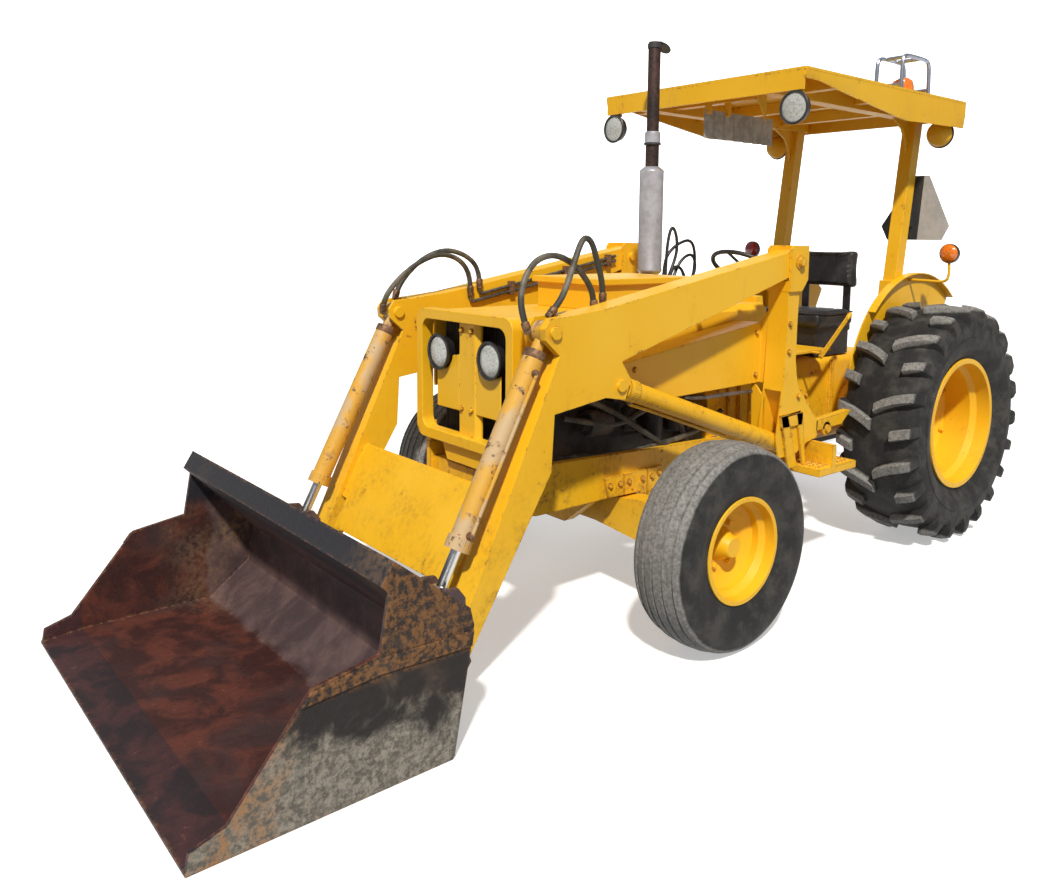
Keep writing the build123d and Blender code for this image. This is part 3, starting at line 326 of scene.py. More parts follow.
def bucket_steel(name):
    f = Finish(name, metallic=0.2, specular_ior_level=0.5)
    broad = f.noise(2.2, 5, 0.6, 0.4)
    cloudy = f.noise(7.0, 6, 0.62, 0.5)
    fine = f.noise(48.0, 5, 0.7)
    grit = f.noise(150.0, 3, 0.6)
    x, y, z = f.axis("X"), f.axis("Y"), f.axis("Z")
    side = f.node("ShaderNodeMath", {"operation": "ABSOLUTE"}, {0: x})
    red = f.mix(cloudy.step(0.40, 0.64), (0.042, 0.012, 0.010), (0.115, 0.030, 0.018))
    colour = f.mix(broad.step(0.46, 0.66) * 0.7, red, (0.045, 0.028, 0.028))
    grey = f.mix(cloudy.step(0.35, 0.7), (0.060, 0.038, 0.040), (0.135, 0.088, 0.082))
    colour = f.mix((y + (cloudy - 0.5) * 0.12).step(FLOOR_END_Y, FLOOR_END_Y + 0.03) * 0.85, colour, grey)
    # Painted shade: above about 0.45 m the sheet is darkened to near-black, standing for the shade under the
    # top lip.
    colour = f.mix((z + (cloudy - 0.5) * 0.1).step(0.42, 0.50), colour, (0.018, 0.017, 0.022))
    strip = (y * -1 + (fine - 0.5) * 0.01).step(-EDGE_STRIP_Y, -EDGE_STRIP_Y + 0.006)
    colour = f.mix(strip * 0.9, colour, f.mix(cloudy.step(0.4, 0.62), (0.020, 0.013, 0.015),
                                              (0.055, 0.020, 0.022)))
    corner = side.step(0.50, 0.82) * (y * -1).step(2.0, 1.5) * broad.step(0.42, 0.62) * fine.step(0.36, 0.6)
    colour = f.mix(corner * 0.8, colour, (0.34, 0.20, 0.10))
    colour = f.mix(fine.step(0.58, 0.72) * cloudy.step(0.5, 0.66) * 0.6, colour, (0.24, 0.10, 0.045))
    outer = side.step(BUCKET_SIDE - 0.0015, BUCKET_SIDE - 0.0005)
    black = f.mix(cloudy.step(0.45, 0.7), (0.018, 0.014, 0.013), (0.060, 0.040, 0.030))
    colour = f.mix(outer, colour, black)
    low = (z * -1 + 0.30 + (cloudy - 0.5) * 0.55 - (y + 2.0) * 0.22).step(-0.02, 0.14)
    chalk = f.mix(fine.step(0.38, 0.64), (0.125, 0.110, 0.090), (0.34, 0.31, 0.255))
    colour = f.mix(outer * low * (0.55 + grit * 0.7).low(1.0), colour, chalk)
    orange = outer * (y * -1).step(1.95, 2.35) * cloudy.step(0.40, 0.60) + outer * (z - 0.33).step(0.0,
                                                                                                   0.03) * 0.5
    colour = f.mix((orange * fine.step(0.40, 0.6)).low(1.0), colour, (0.38, 0.17, 0.05))
    colour = f.mix(f.edges(0.02) * fine.step(0.45, 0.6) * 0.6, colour, (0.30, 0.14, 0.06))
    f.set(base_color=colour, roughness=0.44 + fine * 0.34 + outer * 0.2)
    f.bump(fine * 0.5 + cloudy * 0.6 + grit * 0.25, 0.004, 0.8)
    return f.material


def greasy_casting(name, base, dusty):
    f = Finish(name, specular_ior_level=0.5)
    cloudy = f.noise(8.0, 5, 0.6)
    fine = f.noise(60.0, 4, 0.6)
    colour = f.mix(cloudy.step(0.42, 0.7), base, dusty)
    colour = f.mix(f.upward().step(0.3, 0.9) * fine.step(0.4, 0.65) * 0.7, colour, (0.16, 0.12, 0.08))
    f.set(base_color=colour, roughness=0.45 + fine * 0.35)
    f.bump(fine, 0.002, 0.7)
    return f.material


def bright_rod(name):
    f = Finish(name, base_color=(0.62, 0.62, 0.63), metallic=1.0)
    marks = f.noise(30.0, 4, 0.6, at=f.stretched(1, 0.2, 0.2))
    f.set(roughness=0.14 + marks * 0.22)
    return f.material


def plain_metal(name, colour, metallic, rough, mottle=0.25, grain=40.0):
    f = Finish(name, metallic=metallic)
    cloudy = f.noise(grain / 5, 5, 0.6)
    fine = f.noise(grain, 4, 0.6)
    darker = tuple(c * (1 - mottle * 1.4) for c in colour)
    f.set(base_color=f.mix((cloudy * 0.5 + fine * 0.5).step(0.4, 0.62), colour, darker),
          roughness=rough + (fine - 0.5) * 0.3)
    f.bump(fine, 0.001, 0.5)
    return f.material


# %% [markdown]
# ## Rubber, vinyl and glass
# Tyre rubber is nearly black, but it is dusted by what it rolls on: the tread and the lugs are worn to a
# warm grey and the sidewalls are smeared. A distance from the wheel's own centre tells tread from sidewall.

# %% Rubber, vinyl and glass
def tyre_rubber(name, centre_y, centre_z, radius, tread_share):
    """Rubber for a wheel about (centre_y, centre_z), grey beyond tread_share of its radius."""
    f = Finish(name, specular_ior_level=0.35)
    dy, dz = f.axis("Y") - centre_y, f.axis("Z") - centre_z
    out = f.node("ShaderNodeMath", {"operation": "SQRT"}, {0: dy * dy + dz * dz}) / radius
    cloudy = f.noise(9.0, 5, 0.65)
    fine = f.noise(75.0, 4, 0.65)
    tread = (out + (cloudy - 0.5) * 0.03).step(tread_share - 0.012, tread_share + 0.012)
    colour = f.mix(cloudy.step(0.4, 0.68), (0.013, 0.013, 0.013), (0.050, 0.046, 0.041))
    worn = f.mix(fine.step(0.30, 0.68), (0.135, 0.130, 0.122), (0.29, 0.28, 0.262))
    colour = f.mix((tread * (0.62 + cloudy * 0.5)).low(1.0), colour, worn)
    f.set(base_color=colour, roughness=0.60 + fine * 0.3)
    f.bump(fine * 0.7 + cloudy * 0.3, 0.0015, 0.6)
    return f.material


def worn_vinyl(name):
    f = Finish(name, specular_ior_level=0.5)
    grain = f.cells(420.0)
    cloudy = f.noise(14.0, 4, 0.6)
    colour = f.mix(cloudy.step(0.4, 0.7), (0.012, 0.012, 0.013), (0.040, 0.038, 0.037))
    f.set(base_color=colour, roughness=0.38 + cloudy * 0.3)
    f.bump(grain, 0.0006, 0.5)
    return f.material


def black_hose(name):
    f = Finish(name, specular_ior_level=0.5)
    fine = f.noise(90.0, 3, 0.6)
    colour = f.mix(f.noise(7.0, 4, 0.6).step(0.42, 0.66), (0.030, 0.028, 0.022), (0.16, 0.135, 0.095))
    f.set(base_color=colour, roughness=0.42 + fine * 0.3)
    f.bump(fine, 0.0005, 0.5)
    return f.material


def coloured_glass(name, colour, rough, alpha=1.0):
    f = Finish(name, roughness=rough, alpha=alpha, coat_weight=0.6)
    ribs = f.noise(120.0, 2, 0.5)
    f.set(base_color=f.mix(ribs.step(0.4, 0.7), colour, tuple(c * 0.65 for c in colour)))
    f.bump(ribs, 0.0008, 0.6)
    return f.material


FRONT_AXLE = (-0.297, 0.415)
REAR_AXLE = (1.725, 0.642)
finishes = {
    "yellow": yellow_paint("yellow_paint"),
    "yellow_clean": yellow_paint("yellow_rim_paint", wear=0.15, dirt=0.2, faded=0.25),
    "yellow_worn": yellow_paint("yellow_worn_paint", wear=1.1, dirt=1.0, faded=0.3),
    "barrel": peeled_barrel("peeled_barrel"),
    "bucket": bucket_steel("bucket_steel"),
    "casting": greasy_casting("greasy_casting", (0.020, 0.018, 0.017), (0.07, 0.05, 0.035)),
    "rod": bright_rod("bright_rod"),
    "silver": plain_metal("silver_muffler", (0.47, 0.47, 0.51), 0.55, 0.42, 0.16, 30.0),
    "stack": plain_metal("rusty_stack", (0.060, 0.028, 0.022), 0.3, 0.6, 0.55, 60.0),
    "steel": plain_metal("dull_steel", (0.22, 0.20, 0.18), 0.8, 0.5, 0.4, 80.0),
    "rusty": plain_metal("rusty_fitting", (0.26, 0.14, 0.075), 0.4, 0.6, 0.5, 90.0),
    "aluminium": plain_metal("bare_aluminium", (0.42, 0.46, 0.56), 0.9, 0.3, 0.15, 40.0),
    "plate": plain_metal("grey_plate", (0.47, 0.47, 0.46), 0.1, 0.55, 0.12, 25.0),
    # Near black: the rain cap's own colour, and painted shade on the rear plate's dark half.
    "shaded_and_black_plate": plain_metal("black_plate_and_painted_shade", (0.040, 0.040, 0.043), 0.1, 0.5, 0.2, 25.0),
    "panel": plain_metal("pale_panel", (0.42, 0.41, 0.36), 0.2, 0.5, 0.25, 30.0),
    "black": plain_metal("black_plastic", (0.020, 0.020, 0.021), 0.0, 0.45, 0.3, 60.0),
    "front_rubber": tyre_rubber("front_rubber", *FRONT_AXLE, 0.415, 0.925),
    "rear_rubber": tyre_rubber("rear_rubber", *REAR_AXLE, 0.642, 0.955),
    "vinyl": worn_vinyl("worn_vinyl"),
    "hose": black_hose("black_hose"),
    "lens": coloured_glass("lamp_glass", (0.52, 0.53, 0.50), 0.16),
    "amber": coloured_glass("amber_glass", (0.85, 0.20, 0.01), 0.2),
    "red": coloured_glass("red_glass", (0.40, 0.012, 0.01), 0.2),
}
print("finishes:", len(finishes))

# %% Give every solid its finish
node_finish = {
    "bucket": "bucket", "engine_block": "casting", "radiator": "casting", "exhaust_stack": "silver",
    "headlamps": "lens", "work_lamps": "black", "beacon": "amber", "beacon_guard": "aluminium",
    "rear_triangle": "shaded_and_black_plate", "seat_frame": "black", "seat_cushion": "vinyl", "seat_back": "vinyl",
    "steering_wheel": "black", "fender_lamps": "yellow", "drawbar": "casting",
}
for name, solid in nodes.items():
    if "tyre" in name:
        key = "front_rubber" if "front" in name else "rear_rubber"
    elif "rim" in name:
        key = "yellow_clean"
    elif "_rod_" in name:
        key = "rod"
    elif "tilt_barrel_" in name:
        key = "barrel"
    elif "lift_barrel_" in name:
        key = "yellow_worn"
    else:
        key = node_finish.get(name, "yellow")
    solid.data.materials.clear()
    solid.data.materials.append(finishes[key])
print("solids with a finish:", len(nodes))


# %% [markdown]
# ## Three ways to make a shape
# Most parts of a tractor are turned, sawn from plate or bent from rod. A turned part is a profile spun
# about a line, a sawn one is an outline given a thickness, and a bent one is a line given a radius. Sizes
# are in millimetres, as on a drawing, and a finished piece rides on one of the machine's bodies.

# %% Turned, sawn and bent
EDGE_ANGLE = radians(32)


def mm(x, y, z):
    """A point given in millimetres."""
    return Vector((x, y, z)) / 1000


def pointing(origin, direction):
    """A placing at origin whose own Z runs along a direction."""
    return Matrix.Translation(origin) @ Vector(direction).to_track_quat("Z", "Y").to_matrix().to_4x4()


def turned(made, place, profile, sides=48):
    """Spins (height, radius) points, in millimetres, about the placing's own Z."""
    rings = []
    for height, radius in profile:
        around = [(radius * cos(2 * pi * i / sides), radius * sin(2 * pi * i / sides)) for i in range(sides)]
        rings.append([made.verts.new(place @ mm(u, v, height)) for u, v in around])
    for low, high in zip(rings, rings[1:]):
        for i in range(sides):
            j = (i + 1) % sides
            made.faces.new((low[i], low[j], high[j], high[i]))


def sawn(made, outline, lift):
    """Gives an outline of points a thickness, by a vector."""
    low = [made.verts.new(Vector(point)) for point in outline]
    high = [made.verts.new(Vector(point) + Vector(lift)) for point in outline]
    made.faces.new(low[::-1])
    made.faces.new(high)
    for i, j in zip(range(len(low)), [*range(1, len(low)), 0]):
        made.faces.new((low[i], low[j], high[j], high[i]))


def side_plate(made, outline, x, thick):
    """A plate seen from the side: (y, z) points in millimetres, from x outwards by thick."""
    sawn(made, [mm(x, y, z) for y, z in outline], mm(thick, 0, 0))


def front_plate(made, outline, y, thick):
    """A plate seen from the front: (x, z) points in millimetres, from y backwards by thick."""
    sawn(made, [mm(x, y, z) for x, z in outline], mm(0, thick, 0))


def block(made, low, high):
    """A block between two corners in millimetres."""
    (x0, y0, z0), (x1, y1, z1) = low, high
    sawn(made, [mm(x0, y0, z0), mm(x1, y0, z0), mm(x1, y1, z0), mm(x0, y1, z0)], mm(0, 0, z1 - z0))


def as_piece(name, made, finish, body="root", eased=0.0, stands_for=()):
    """Makes a plain mesh into a piece of the machine, with its edges eased by a width in metres."""
    bmesh.ops.remove_doubles(made, verts=made.verts, dist=1e-6)
    bmesh.ops.recalc_face_normals(made, faces=made.faces)
    mesh = bpy.data.meshes.new(name)
    made.to_mesh(mesh)
    made.free()
    mesh.materials.append(finishes[finish])
    mesh.shade_smooth()
    mesh.set_sharp_from_angle(angle=EDGE_ANGLE)
    piece = bpy.data.objects.new(name, mesh)
    bpy.context.scene.collection.objects.link(piece)
    if eased:
        rounding = piece.modifiers.new("eased", "BEVEL")
        rounding.width = eased
        rounding.segments = 2
        rounding.limit_method = "ANGLE"
        rounding.angle_limit = EDGE_ANGLE
        rounding.harden_normals = True
    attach(piece, body)
    if stands_for:
        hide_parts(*stands_for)
    return piece


def bent(name, routes, radius, finish, body="root", stands_for=()):
    """Smooth round lines through lists of points, all in one piece. The radius is in millimetres."""
    curve = bpy.data.curves.new(name, "CURVE")
    curve.dimensions = "3D"
    curve.bevel_depth = radius / 1000
    curve.bevel_resolution = 3
    curve.resolution_u = 6
    curve.use_fill_caps = True
    for points in routes:
        spline = curve.splines.new("NURBS")
        spline.points.add(len(points) - 1)
        for point, place in zip(spline.points, points):
            point.co = (*mm(*place), 1)
        spline.order_u = min(3, len(points))
        spline.use_endpoint_u = True
    source = bpy.data.objects.new(name + "_line", curve)
    bpy.context.scene.collection.objects.link(source)
    mesh = bpy.data.meshes.new_from_object(source.evaluated_get(bpy.context.evaluated_depsgraph_get()))
    bpy.data.objects.remove(source)
    made = bmesh.new()
    made.from_mesh(mesh)
    bpy.data.meshes.remove(mesh)
    return as_piece(name, made, finish, body, stands_for=stands_for)


def mirrored(half):
    """A profile and its mirror image about height 0, as one closed loop."""
    whole = half + [(-height, radius) for height, radius in reversed(half)]
    return whole + whole[:1]


# %% [markdown]
# ## Tyres
# The front tyres have straight ribs, so a turned profile with five grooves is the whole of each. The rear
# ones have a turned carcass too, but their bent lugs, long and short in turn, are built one by one: a row
# of sections from near the middle of the tread out over the shoulder, each a little wider at its root than
# at its worn top.

# %% Front tyres
FRONT_X, FRONT_R, FRONT_HALF = 860, 415, 125
TREAD_HALF, TREAD_CURVE = 108, 0.0018
GROOVES, GROOVE_DEEP = (-86, -43, 0, 43, 86), 9
SIDES = {"left": 1, "right": -1}


def axle_centre(x, axle):
    """A wheel's centre: x in millimetres on an axle at (y, z) in metres."""
    return mm(x, axle[0] * 1000, axle[1] * 1000)


def crown(x):
    """The front tread's radius at x from its middle."""
    return FRONT_R - TREAD_CURVE * x * x


tread = [(-TREAD_HALF, crown(TREAD_HALF))]
for groove in GROOVES:
    top, foot = crown(groove), crown(groove) - GROOVE_DEEP
    tread += [(groove - 6, top), (groove - 3, foot), (groove + 3, foot), (groove + 6, top)]
tread += [(TREAD_HALF, crown(TREAD_HALF))]
wall = [(113, 384), (121, 362), (FRONT_HALF, 330), (FRONT_HALF, 306), (121, 296), (120, 286), (112, 262),
        (99, 236), (97, 222), (97, 201)]
front_section = tread + wall + [(-x, r) for x, r in reversed(wall)] + tread[:1]
for name, side in SIDES.items():
    made = bmesh.new()
    turned(made, pointing(axle_centre(side * FRONT_X, FRONT_AXLE), (1, 0, 0)), front_section, 96)
    as_piece("ribbed_tyre_" + name, made, "front_rubber", "front_wheel_" + name,
             stands_for=("front_tyre_" + name,))
print("front tyres:", len(GROOVES) + 1, "ribs each")

# %% Rear tyres
REAR_X, REAR_R = 675, 642
LUG_PAIRS = 11
LUG_ROOT, LUG_EDGE, LUG_TOP, EDGE_DROP = 34, 26, 21, 7
CARCASS = [(171, 331), (171, 362), (190, 386), (212, 420), (222, 455), (224, 470), (219, 474), (218, 505),
           (206, 545), (184, 574), (130, 595), (60, 603)]
LONG_LUG = [(8, 590, 8, 641, -47), (50, 590, 50, 641.6, -22), (108, 586, 108, 640, 4),
            (158, 576, 162, 634, 20), (186, 560, 199, 622, 30), (202, 535, 216, 590, 37),
            (208, 500, 223, 550, 41)]
SHORT_START = 2


def lug(made, centre, row, turn, stations):
    """One bent lug: its stations are root x and radius, top x and radius, and how far it trails."""
    sections = []
    for root_x, root_r, top_x, top_r, trail in stations:
        section = []
        side_r = top_r - EDGE_DROP
        for x, radius, off in ((root_x, root_r, -LUG_ROOT), (top_x, side_r, -LUG_EDGE),
                               (top_x, top_r, -LUG_TOP), (top_x, top_r, LUG_TOP), (top_x, side_r, LUG_EDGE),
                               (root_x, root_r, LUG_ROOT)):
            angle = turn - (trail + off) / radius
            section.append(made.verts.new(centre + mm(row * x, radius * cos(angle), radius * sin(angle))))
        sections.append(section)
    for first, last in zip(sections, sections[1:]):
        for i in range(5):
            made.faces.new((first[i], first[i + 1], last[i + 1], last[i]))
    made.faces.new(sections[0])
    made.faces.new(sections[-1])


for name, side in SIDES.items():
    made = bmesh.new()
    centre = axle_centre(side * REAR_X, REAR_AXLE)
    turned(made, pointing(centre, (1, 0, 0)), mirrored(CARCASS), 88)
    for row in (side, -side):
        for pair in range(LUG_PAIRS):
            turn = 2 * pi * (pair + (0.25 if row != side else 0)) / LUG_PAIRS
            lug(made, centre, row, turn, LONG_LUG)
            short = [(rx, rr, tx, tr, trail - 4) for rx, rr, tx, tr, trail in LONG_LUG[SHORT_START:]]
            lug(made, centre, row, turn + pi / LUG_PAIRS, short)
    as_piece("lugged_tyre_" + name, made, "rear_rubber", "rear_wheel_" + name,
             stands_for=("rear_tyre_" + name,))
print("rear tyres:", 4 * LUG_PAIRS, "lugs each")

# %% Wheels
REAR_RIM = [(87, 304), (112, 330), (171, 330), (171, 352), (183, 352), (183, 325), (111, 320), (85, 295)]
REAR_DISC = [(-130, 0), (-92, 0), (-92, 92), (-96, 108), (-118, 118), (-118, 196), (-96, 238), (-58, 300),
             (-76, 300), (-108, 242), (-130, 200), (-130, 0)]
REAR_SHAFT = [(-138, 0), (-138, 105), (-158, 105), (-158, 48), (-314, 48), (-314, 0)]
FRONT_RIM = [(43, 180), (63, 200), (97, 200), (97, 214), (105, 214), (105, 195), (61, 192), (41, 172)]
FRONT_DISC = [(-25, 66), (-15, 66), (-15, 112), (-3, 140), (13, 176), (2, 176), (-13, 144), (-25, 116),
              (-25, 66)]
FRONT_HUB = [(-85, 30.4), (25.4, 30.4), (25.4, 0), (53, 0), (55, 38), (51, 42), (25, 48), (-11, 70),
             (-85, 70), (-85, 30.4)]
for name, side in SIDES.items():
    made = bmesh.new()
    place = pointing(axle_centre(side * REAR_X, REAR_AXLE), (side, 0, 0))
    turned(made, place, mirrored(REAR_RIM), 96)
    turned(made, place, REAR_DISC, 96)
    turned(made, place, REAR_SHAFT, 48)
    as_piece("rear_dish_" + name, made, "yellow_clean", "rear_wheel_" + name, 0.002, ("rear_rim_" + name,))
    made = bmesh.new()
    place = pointing(axle_centre(side * FRONT_X, FRONT_AXLE), (side, 0, 0))
    turned(made, place, mirrored(FRONT_RIM), 80)
    turned(made, place, FRONT_DISC, 80)
    turned(made, place, FRONT_HUB, 48)
    as_piece("front_dish_" + name, made, "yellow_clean", "front_wheel_" + name, 0.002, ("front_rim_" + name,))
print("wheels: 4")


# %% [markdown]
# ## Grille guard, lamps and radiator
# A rounded frame of heavy flat bar guards the radiator. Its centre post is set back and bevelled, and the
# panel below the lamps is cut out round them. Frame corners are quarter circles, worked out for the outside
# and the inside alike, so that the two loops can be joined face by face.

# %% The guard
GUARD_Y, LAMP_X, LAMP_Z = -960, 183, 1126


def rounded_loop(half, low, high, corner, steps=8):
    """Corner points of a rounded upright oblong, as (x, z)."""
    loop = []
    for quarter, (x, z) in enumerate(((half, high), (-half, high), (-half, low), (half, low))):
        cx = x - corner if x > 0 else x + corner
        cz = z - corner if z == high else z + corner
        for step in range(steps + 1):
            angle = (quarter + step / steps) * pi / 2
            loop.append((cx + corner * cos(angle), cz + corner * sin(angle)))
    return loop


def flat_frame(made, outer, inner, y, deep):
    """A flat frame between two loops of as many points."""
    loops = [[made.verts.new(mm(x, at, z)) for x, z in loop]
             for loop, at in ((outer, y), (outer, y + deep), (inner, y + deep), (inner, y))]
    for first, last in zip(loops, loops[1:] + loops[:1]):
        for i, j in zip(range(len(first)), [*range(1, len(first)), 0]):
            made.faces.new((first[i], first[j], last[j], last[i]))


made = bmesh.new()
flat_frame(made, rounded_loop(345, 740, 1308, 55), rounded_loop(300, 785, 1263, 48), GUARD_Y, 60)
sawn(made, [mm(x, y, 760) for x, y in ((-75, -912), (-55, -930), (55, -930), (75, -912), (75, -900),
                                       (-75, -900))],
     mm(0, 0, 528))
cut = 73
arc = [(LAMP_X + cut * cos(radians(a)), LAMP_Z + cut * sin(radians(a))) for a in range(-52, -181, -12)]
half_panel = [(60, 884), (228, 884), *arc, (60, LAMP_Z)]
front_plate(made, half_panel, -928, 8)
front_plate(made, [(-x, z) for x, z in half_panel], -928, 8)
front_plate(made, [(-197, 748), (197, 748), (150, 656), (-150, 656)], -930, 12)
for side in (1, -1):
    block(made, (side * 315 - 15, -920, 710), (side * 315 + 15, -880, 800))
as_piece("guard", made, "yellow", eased=0.004, stands_for=("grille_guard",))

# %% Headlamps
shells, glasses = bmesh.new(), bmesh.new()
for side in (1, -1):
    place = pointing(mm(side * LAMP_X, -900, LAMP_Z), (0, -1, 0))
    turned(shells, place, [(0, 0), (0, 56), (46, 74), (48, 79), (57, 79), (58, 75), (56, 69), (44, 68),
                           (44, 0)])
    turned(glasses, place, [(47, 68), (53, 58), (57, 36), (58, 0)])
as_piece("headlamp_shells", shells, "black", eased=0.001, stands_for=("headlamps",))
as_piece("headlamp_glasses", glasses, "lens")

# %% Work lamps, fender lamps and beacon
shells, backs, glasses, ambers, reds = [bmesh.new() for _ in range(5)]
for x, y, facing in ((582, 492, -1), (-582, 492, -1), (543, 1885, 1), (-543, 1885, 1)):
    place = pointing(mm(x, y - facing * 30, 2215), (0, facing, 0))
    turned(backs if facing > 0 else shells, place, [(0, 0), (2, 30), (10, 50), (26, 64), (56, 71), (56, 0)])
    turned(shells, place, [(56, 66), (56, 76), (64, 78), (69, 74), (66, 66), (56, 66)])
    turned(glasses, place, [(60, 67), (65, 50), (68, 25), (69, 0)])
    block(backs, (x - 22, y - 8, 2280), (x + 22, y + 8, 2298))
    block(backs, (x - 22, y - 3, 2285), (x + 22, y + 3, 2378))
for side, made in ((1, ambers), (-1, reds)):
    place = pointing(mm(side * 668, 1852, 1552), (0, -1, 0))
    turned(shells, place, [(-12, 50), (-12, 54), (12, 54), (12, 50)])
    turned(made, place, [(-34, 0), (-32, 24), (-24, 42), (-12, 51), (12, 51), (24, 42), (32, 24), (34, 0)])
place = pointing(mm(370, 1790, 2390), (0, 0, 1))
turned(shells, place, [(0, 0), (0, 76), (16, 76), (22, 70), (22, 0)])
turned(ambers, place, [(22, 66), (96, 60), (122, 52), (138, 30), (142, 0)], 40)
as_piece("lamp_rings", shells, "black", eased=0.001, stands_for=("work_lamps",))
as_piece("lamp_backs", backs, "yellow")
as_piece("work_lamp_glasses", glasses, "lens")
as_piece("amber_lenses", ambers, "amber", stands_for=("beacon",))
as_piece("red_lens", reds, "red")
bent("lamp_rods", [[(s * 434, 1852, 1398), (s * 560, 1852, 1396), (s * 650, 1852, 1392),
                    (s * 676, 1852, 1430), (s * 668, 1852, 1502)] for s in (1, -1)], 8, "yellow",
     stands_for=("fender_lamps",))
hoops = [[(370 + s * 75, 1640, 2392), (370 + s * 75, 1640, 2560), (370 + s * 74, 1652, 2626),
          (370 + s * 72, 1720, 2632), (370 + s * 72, 1860, 2632), (370 + s * 74, 1928, 2626),
          (370 + s * 75, 1940, 2560), (370 + s * 75, 1940, 2392)] for s in (1, -1)]
rungs = [[(297, y, z), (370, y, z), (443, y, z)]
         for y, z in ((1730, 2632), (1850, 2632), (1640, 2470), (1940, 2470))]
bent("beacon_cage", hoops + rungs, 11, "aluminium", stands_for=("beacon_guard",))
print("lamps: 8, cage rods:", len(hoops + rungs))


# %% [markdown]
# ## Exhaust
# The muffler is a silver can on a short flanged pipe. Above it come rusty pipe, a bright sleeve with its
# clamp, and a long dark pipe under a half-open rain cap. Each is turned by itself, so that each can have
# its own metal.

# %% Muffler, sleeve, pipe and cap
STACK = (-149, 312)
upright = pointing(mm(*STACK, 0), (0, 0, 1))
can, pipe, cap = bmesh.new(), bmesh.new(), bmesh.new()
turned(can, upright, [(1300, 0), (1300, 49), (1310, 49), (1314, 35), (1428, 35), (1442, 54), (1452, 62),
                      (1458, 63), (1464, 61), (1948, 61), (1954, 63), (1958, 61), (1968, 52), (1978, 37),
                      (1978, 0)])
turned(can, upright, [(2096, 34), (2096, 38), (2100, 39), (2146, 39), (2152, 34)])
turned(pipe, upright, [(1978, 34), (2096, 34)] + [(2152, 31), (2584, 31), (2590, 30), (2590, 26), (2500, 26),
                                                (2500, 0)])
turned(cap, upright, [(2086, 35), (2086, 43), (2096, 43), (2096, 35)])
turned(cap, upright, [(2560, 31), (2560, 35), (2582, 35), (2582, 31)])
hinge = pointing(mm(STACK[0], 312 + 31, 2592), (0, 0.574, 0.819))
turned(cap, hinge @ Matrix.Translation(mm(0, -38, 0)), [(0, 0), (0, 40), (3, 41), (6, 38), (8, 0)], 32)
side_plate(cap, [(337, 2552), (352, 2552), (356, 2598), (341, 2598)], STACK[0] - 12, 24)
as_piece("muffler", can, "silver", eased=0.001, stands_for=("exhaust_stack",))
as_piece("stack_pipe", pipe, "stack")
as_piece("rain_cap", cap, "shaded_and_black_plate", eased=0.001)


# %% [markdown]
# ## Hoses and pipes
# Oil reaches the tilt cylinders through steel pipes clipped along the arms, then through hoses that arch
# over the knee. The hoses are held at both ends by the arms, so they move with them, and no two routes are
# alike.

# %% Oil lines
PIPE_X = 475
pipe_starts = {1: ((-660, 1338, 1290), (-612, 1366, 1325)), -1: ((-578, 1345, 1306), (-525, 1378, 1342))}
pipe_routes = []
for side, starts in pipe_starts.items():
    for (y, top, low), end_z in zip(starts, (1496, 1520)):
        x = side * PIPE_X
        pipe_routes.append([(x, y, top), (x, y, low + 30), (x, y + 6, low), (x, y + 40, low + 8),
                            (x, 100, (low + end_z) / 2 + 30), (x, 385, end_z)])
bent("arm_oil_pipes", pipe_routes, 8, "steel", "loader_arms")
hose_routes = [
    [(475, -660, 1338), (475, -660, 1400), (472, -712, 1474), (470, -785, 1532), (472, -872, 1556),
     (476, -958, 1534), (482, -1014, 1470), (492, -1040, 1395), (508, -1040, 1330), (520, -1026, 1276)],
    [(475, -612, 1366), (475, -612, 1436), (475, -645, 1525), (474, -672, 1602), (476, -712, 1622),
     (486, -748, 1590), (505, -800, 1505), (538, -872, 1405), (546, -925, 1356), (545, -948, 1334)],
    [(-475, -578, 1345), (-475, -578, 1405), (-474, -602, 1472), (-470, -664, 1520), (-470, -750, 1536),
     (-470, -835, 1514), (-474, -918, 1466), (-484, -988, 1402), (-505, -1030, 1332), (-520, -1028, 1276)],
    [(-475, -525, 1378), (-475, -525, 1430), (-484, -548, 1494), (-492, -615, 1538), (-502, -705, 1556),
     (-520, -800, 1524), (-538, -885, 1450), (-546, -935, 1378), (-545, -948, 1334)],
]
bent("arm_oil_hoses", hose_routes, 12, "hose", "loader_arms")
made = bmesh.new()
for route in hose_routes:
    for end, towards in ((route[0], route[1]), (route[-1], route[-2])):
        place = pointing(mm(*end), mm(*towards) - mm(*end))
        turned(made, place, [(-8, 0), (-8, 15), (10, 15), (10, 0)], 6)
        turned(made, place, [(10, 0), (10, 16), (34, 16), (40, 12), (40, 0)], 20)
for side in (1, -1):
    for y in (-330, 30, 330):
        middle = 1511 - (410 - y) * 0.194
        block(made, (side * 477 - 13, y - 15, middle - 33), (side * 477 + 13, y + 15, middle + 33))
as_piece("hose_fittings", made, "rusty", "loader_arms", 0.0015)
print("hoses:", len(hose_routes), "pipes:", len(pipe_routes))

# %% [markdown]
# ## Irons on the frame, masts and cylinders
# Bars, covers, bosses and clamps are sawn from plate in one piece for each body that carries them. They sit
# where the solids under them are, and stand a few millimetres proud, as welded and bolted irons do.

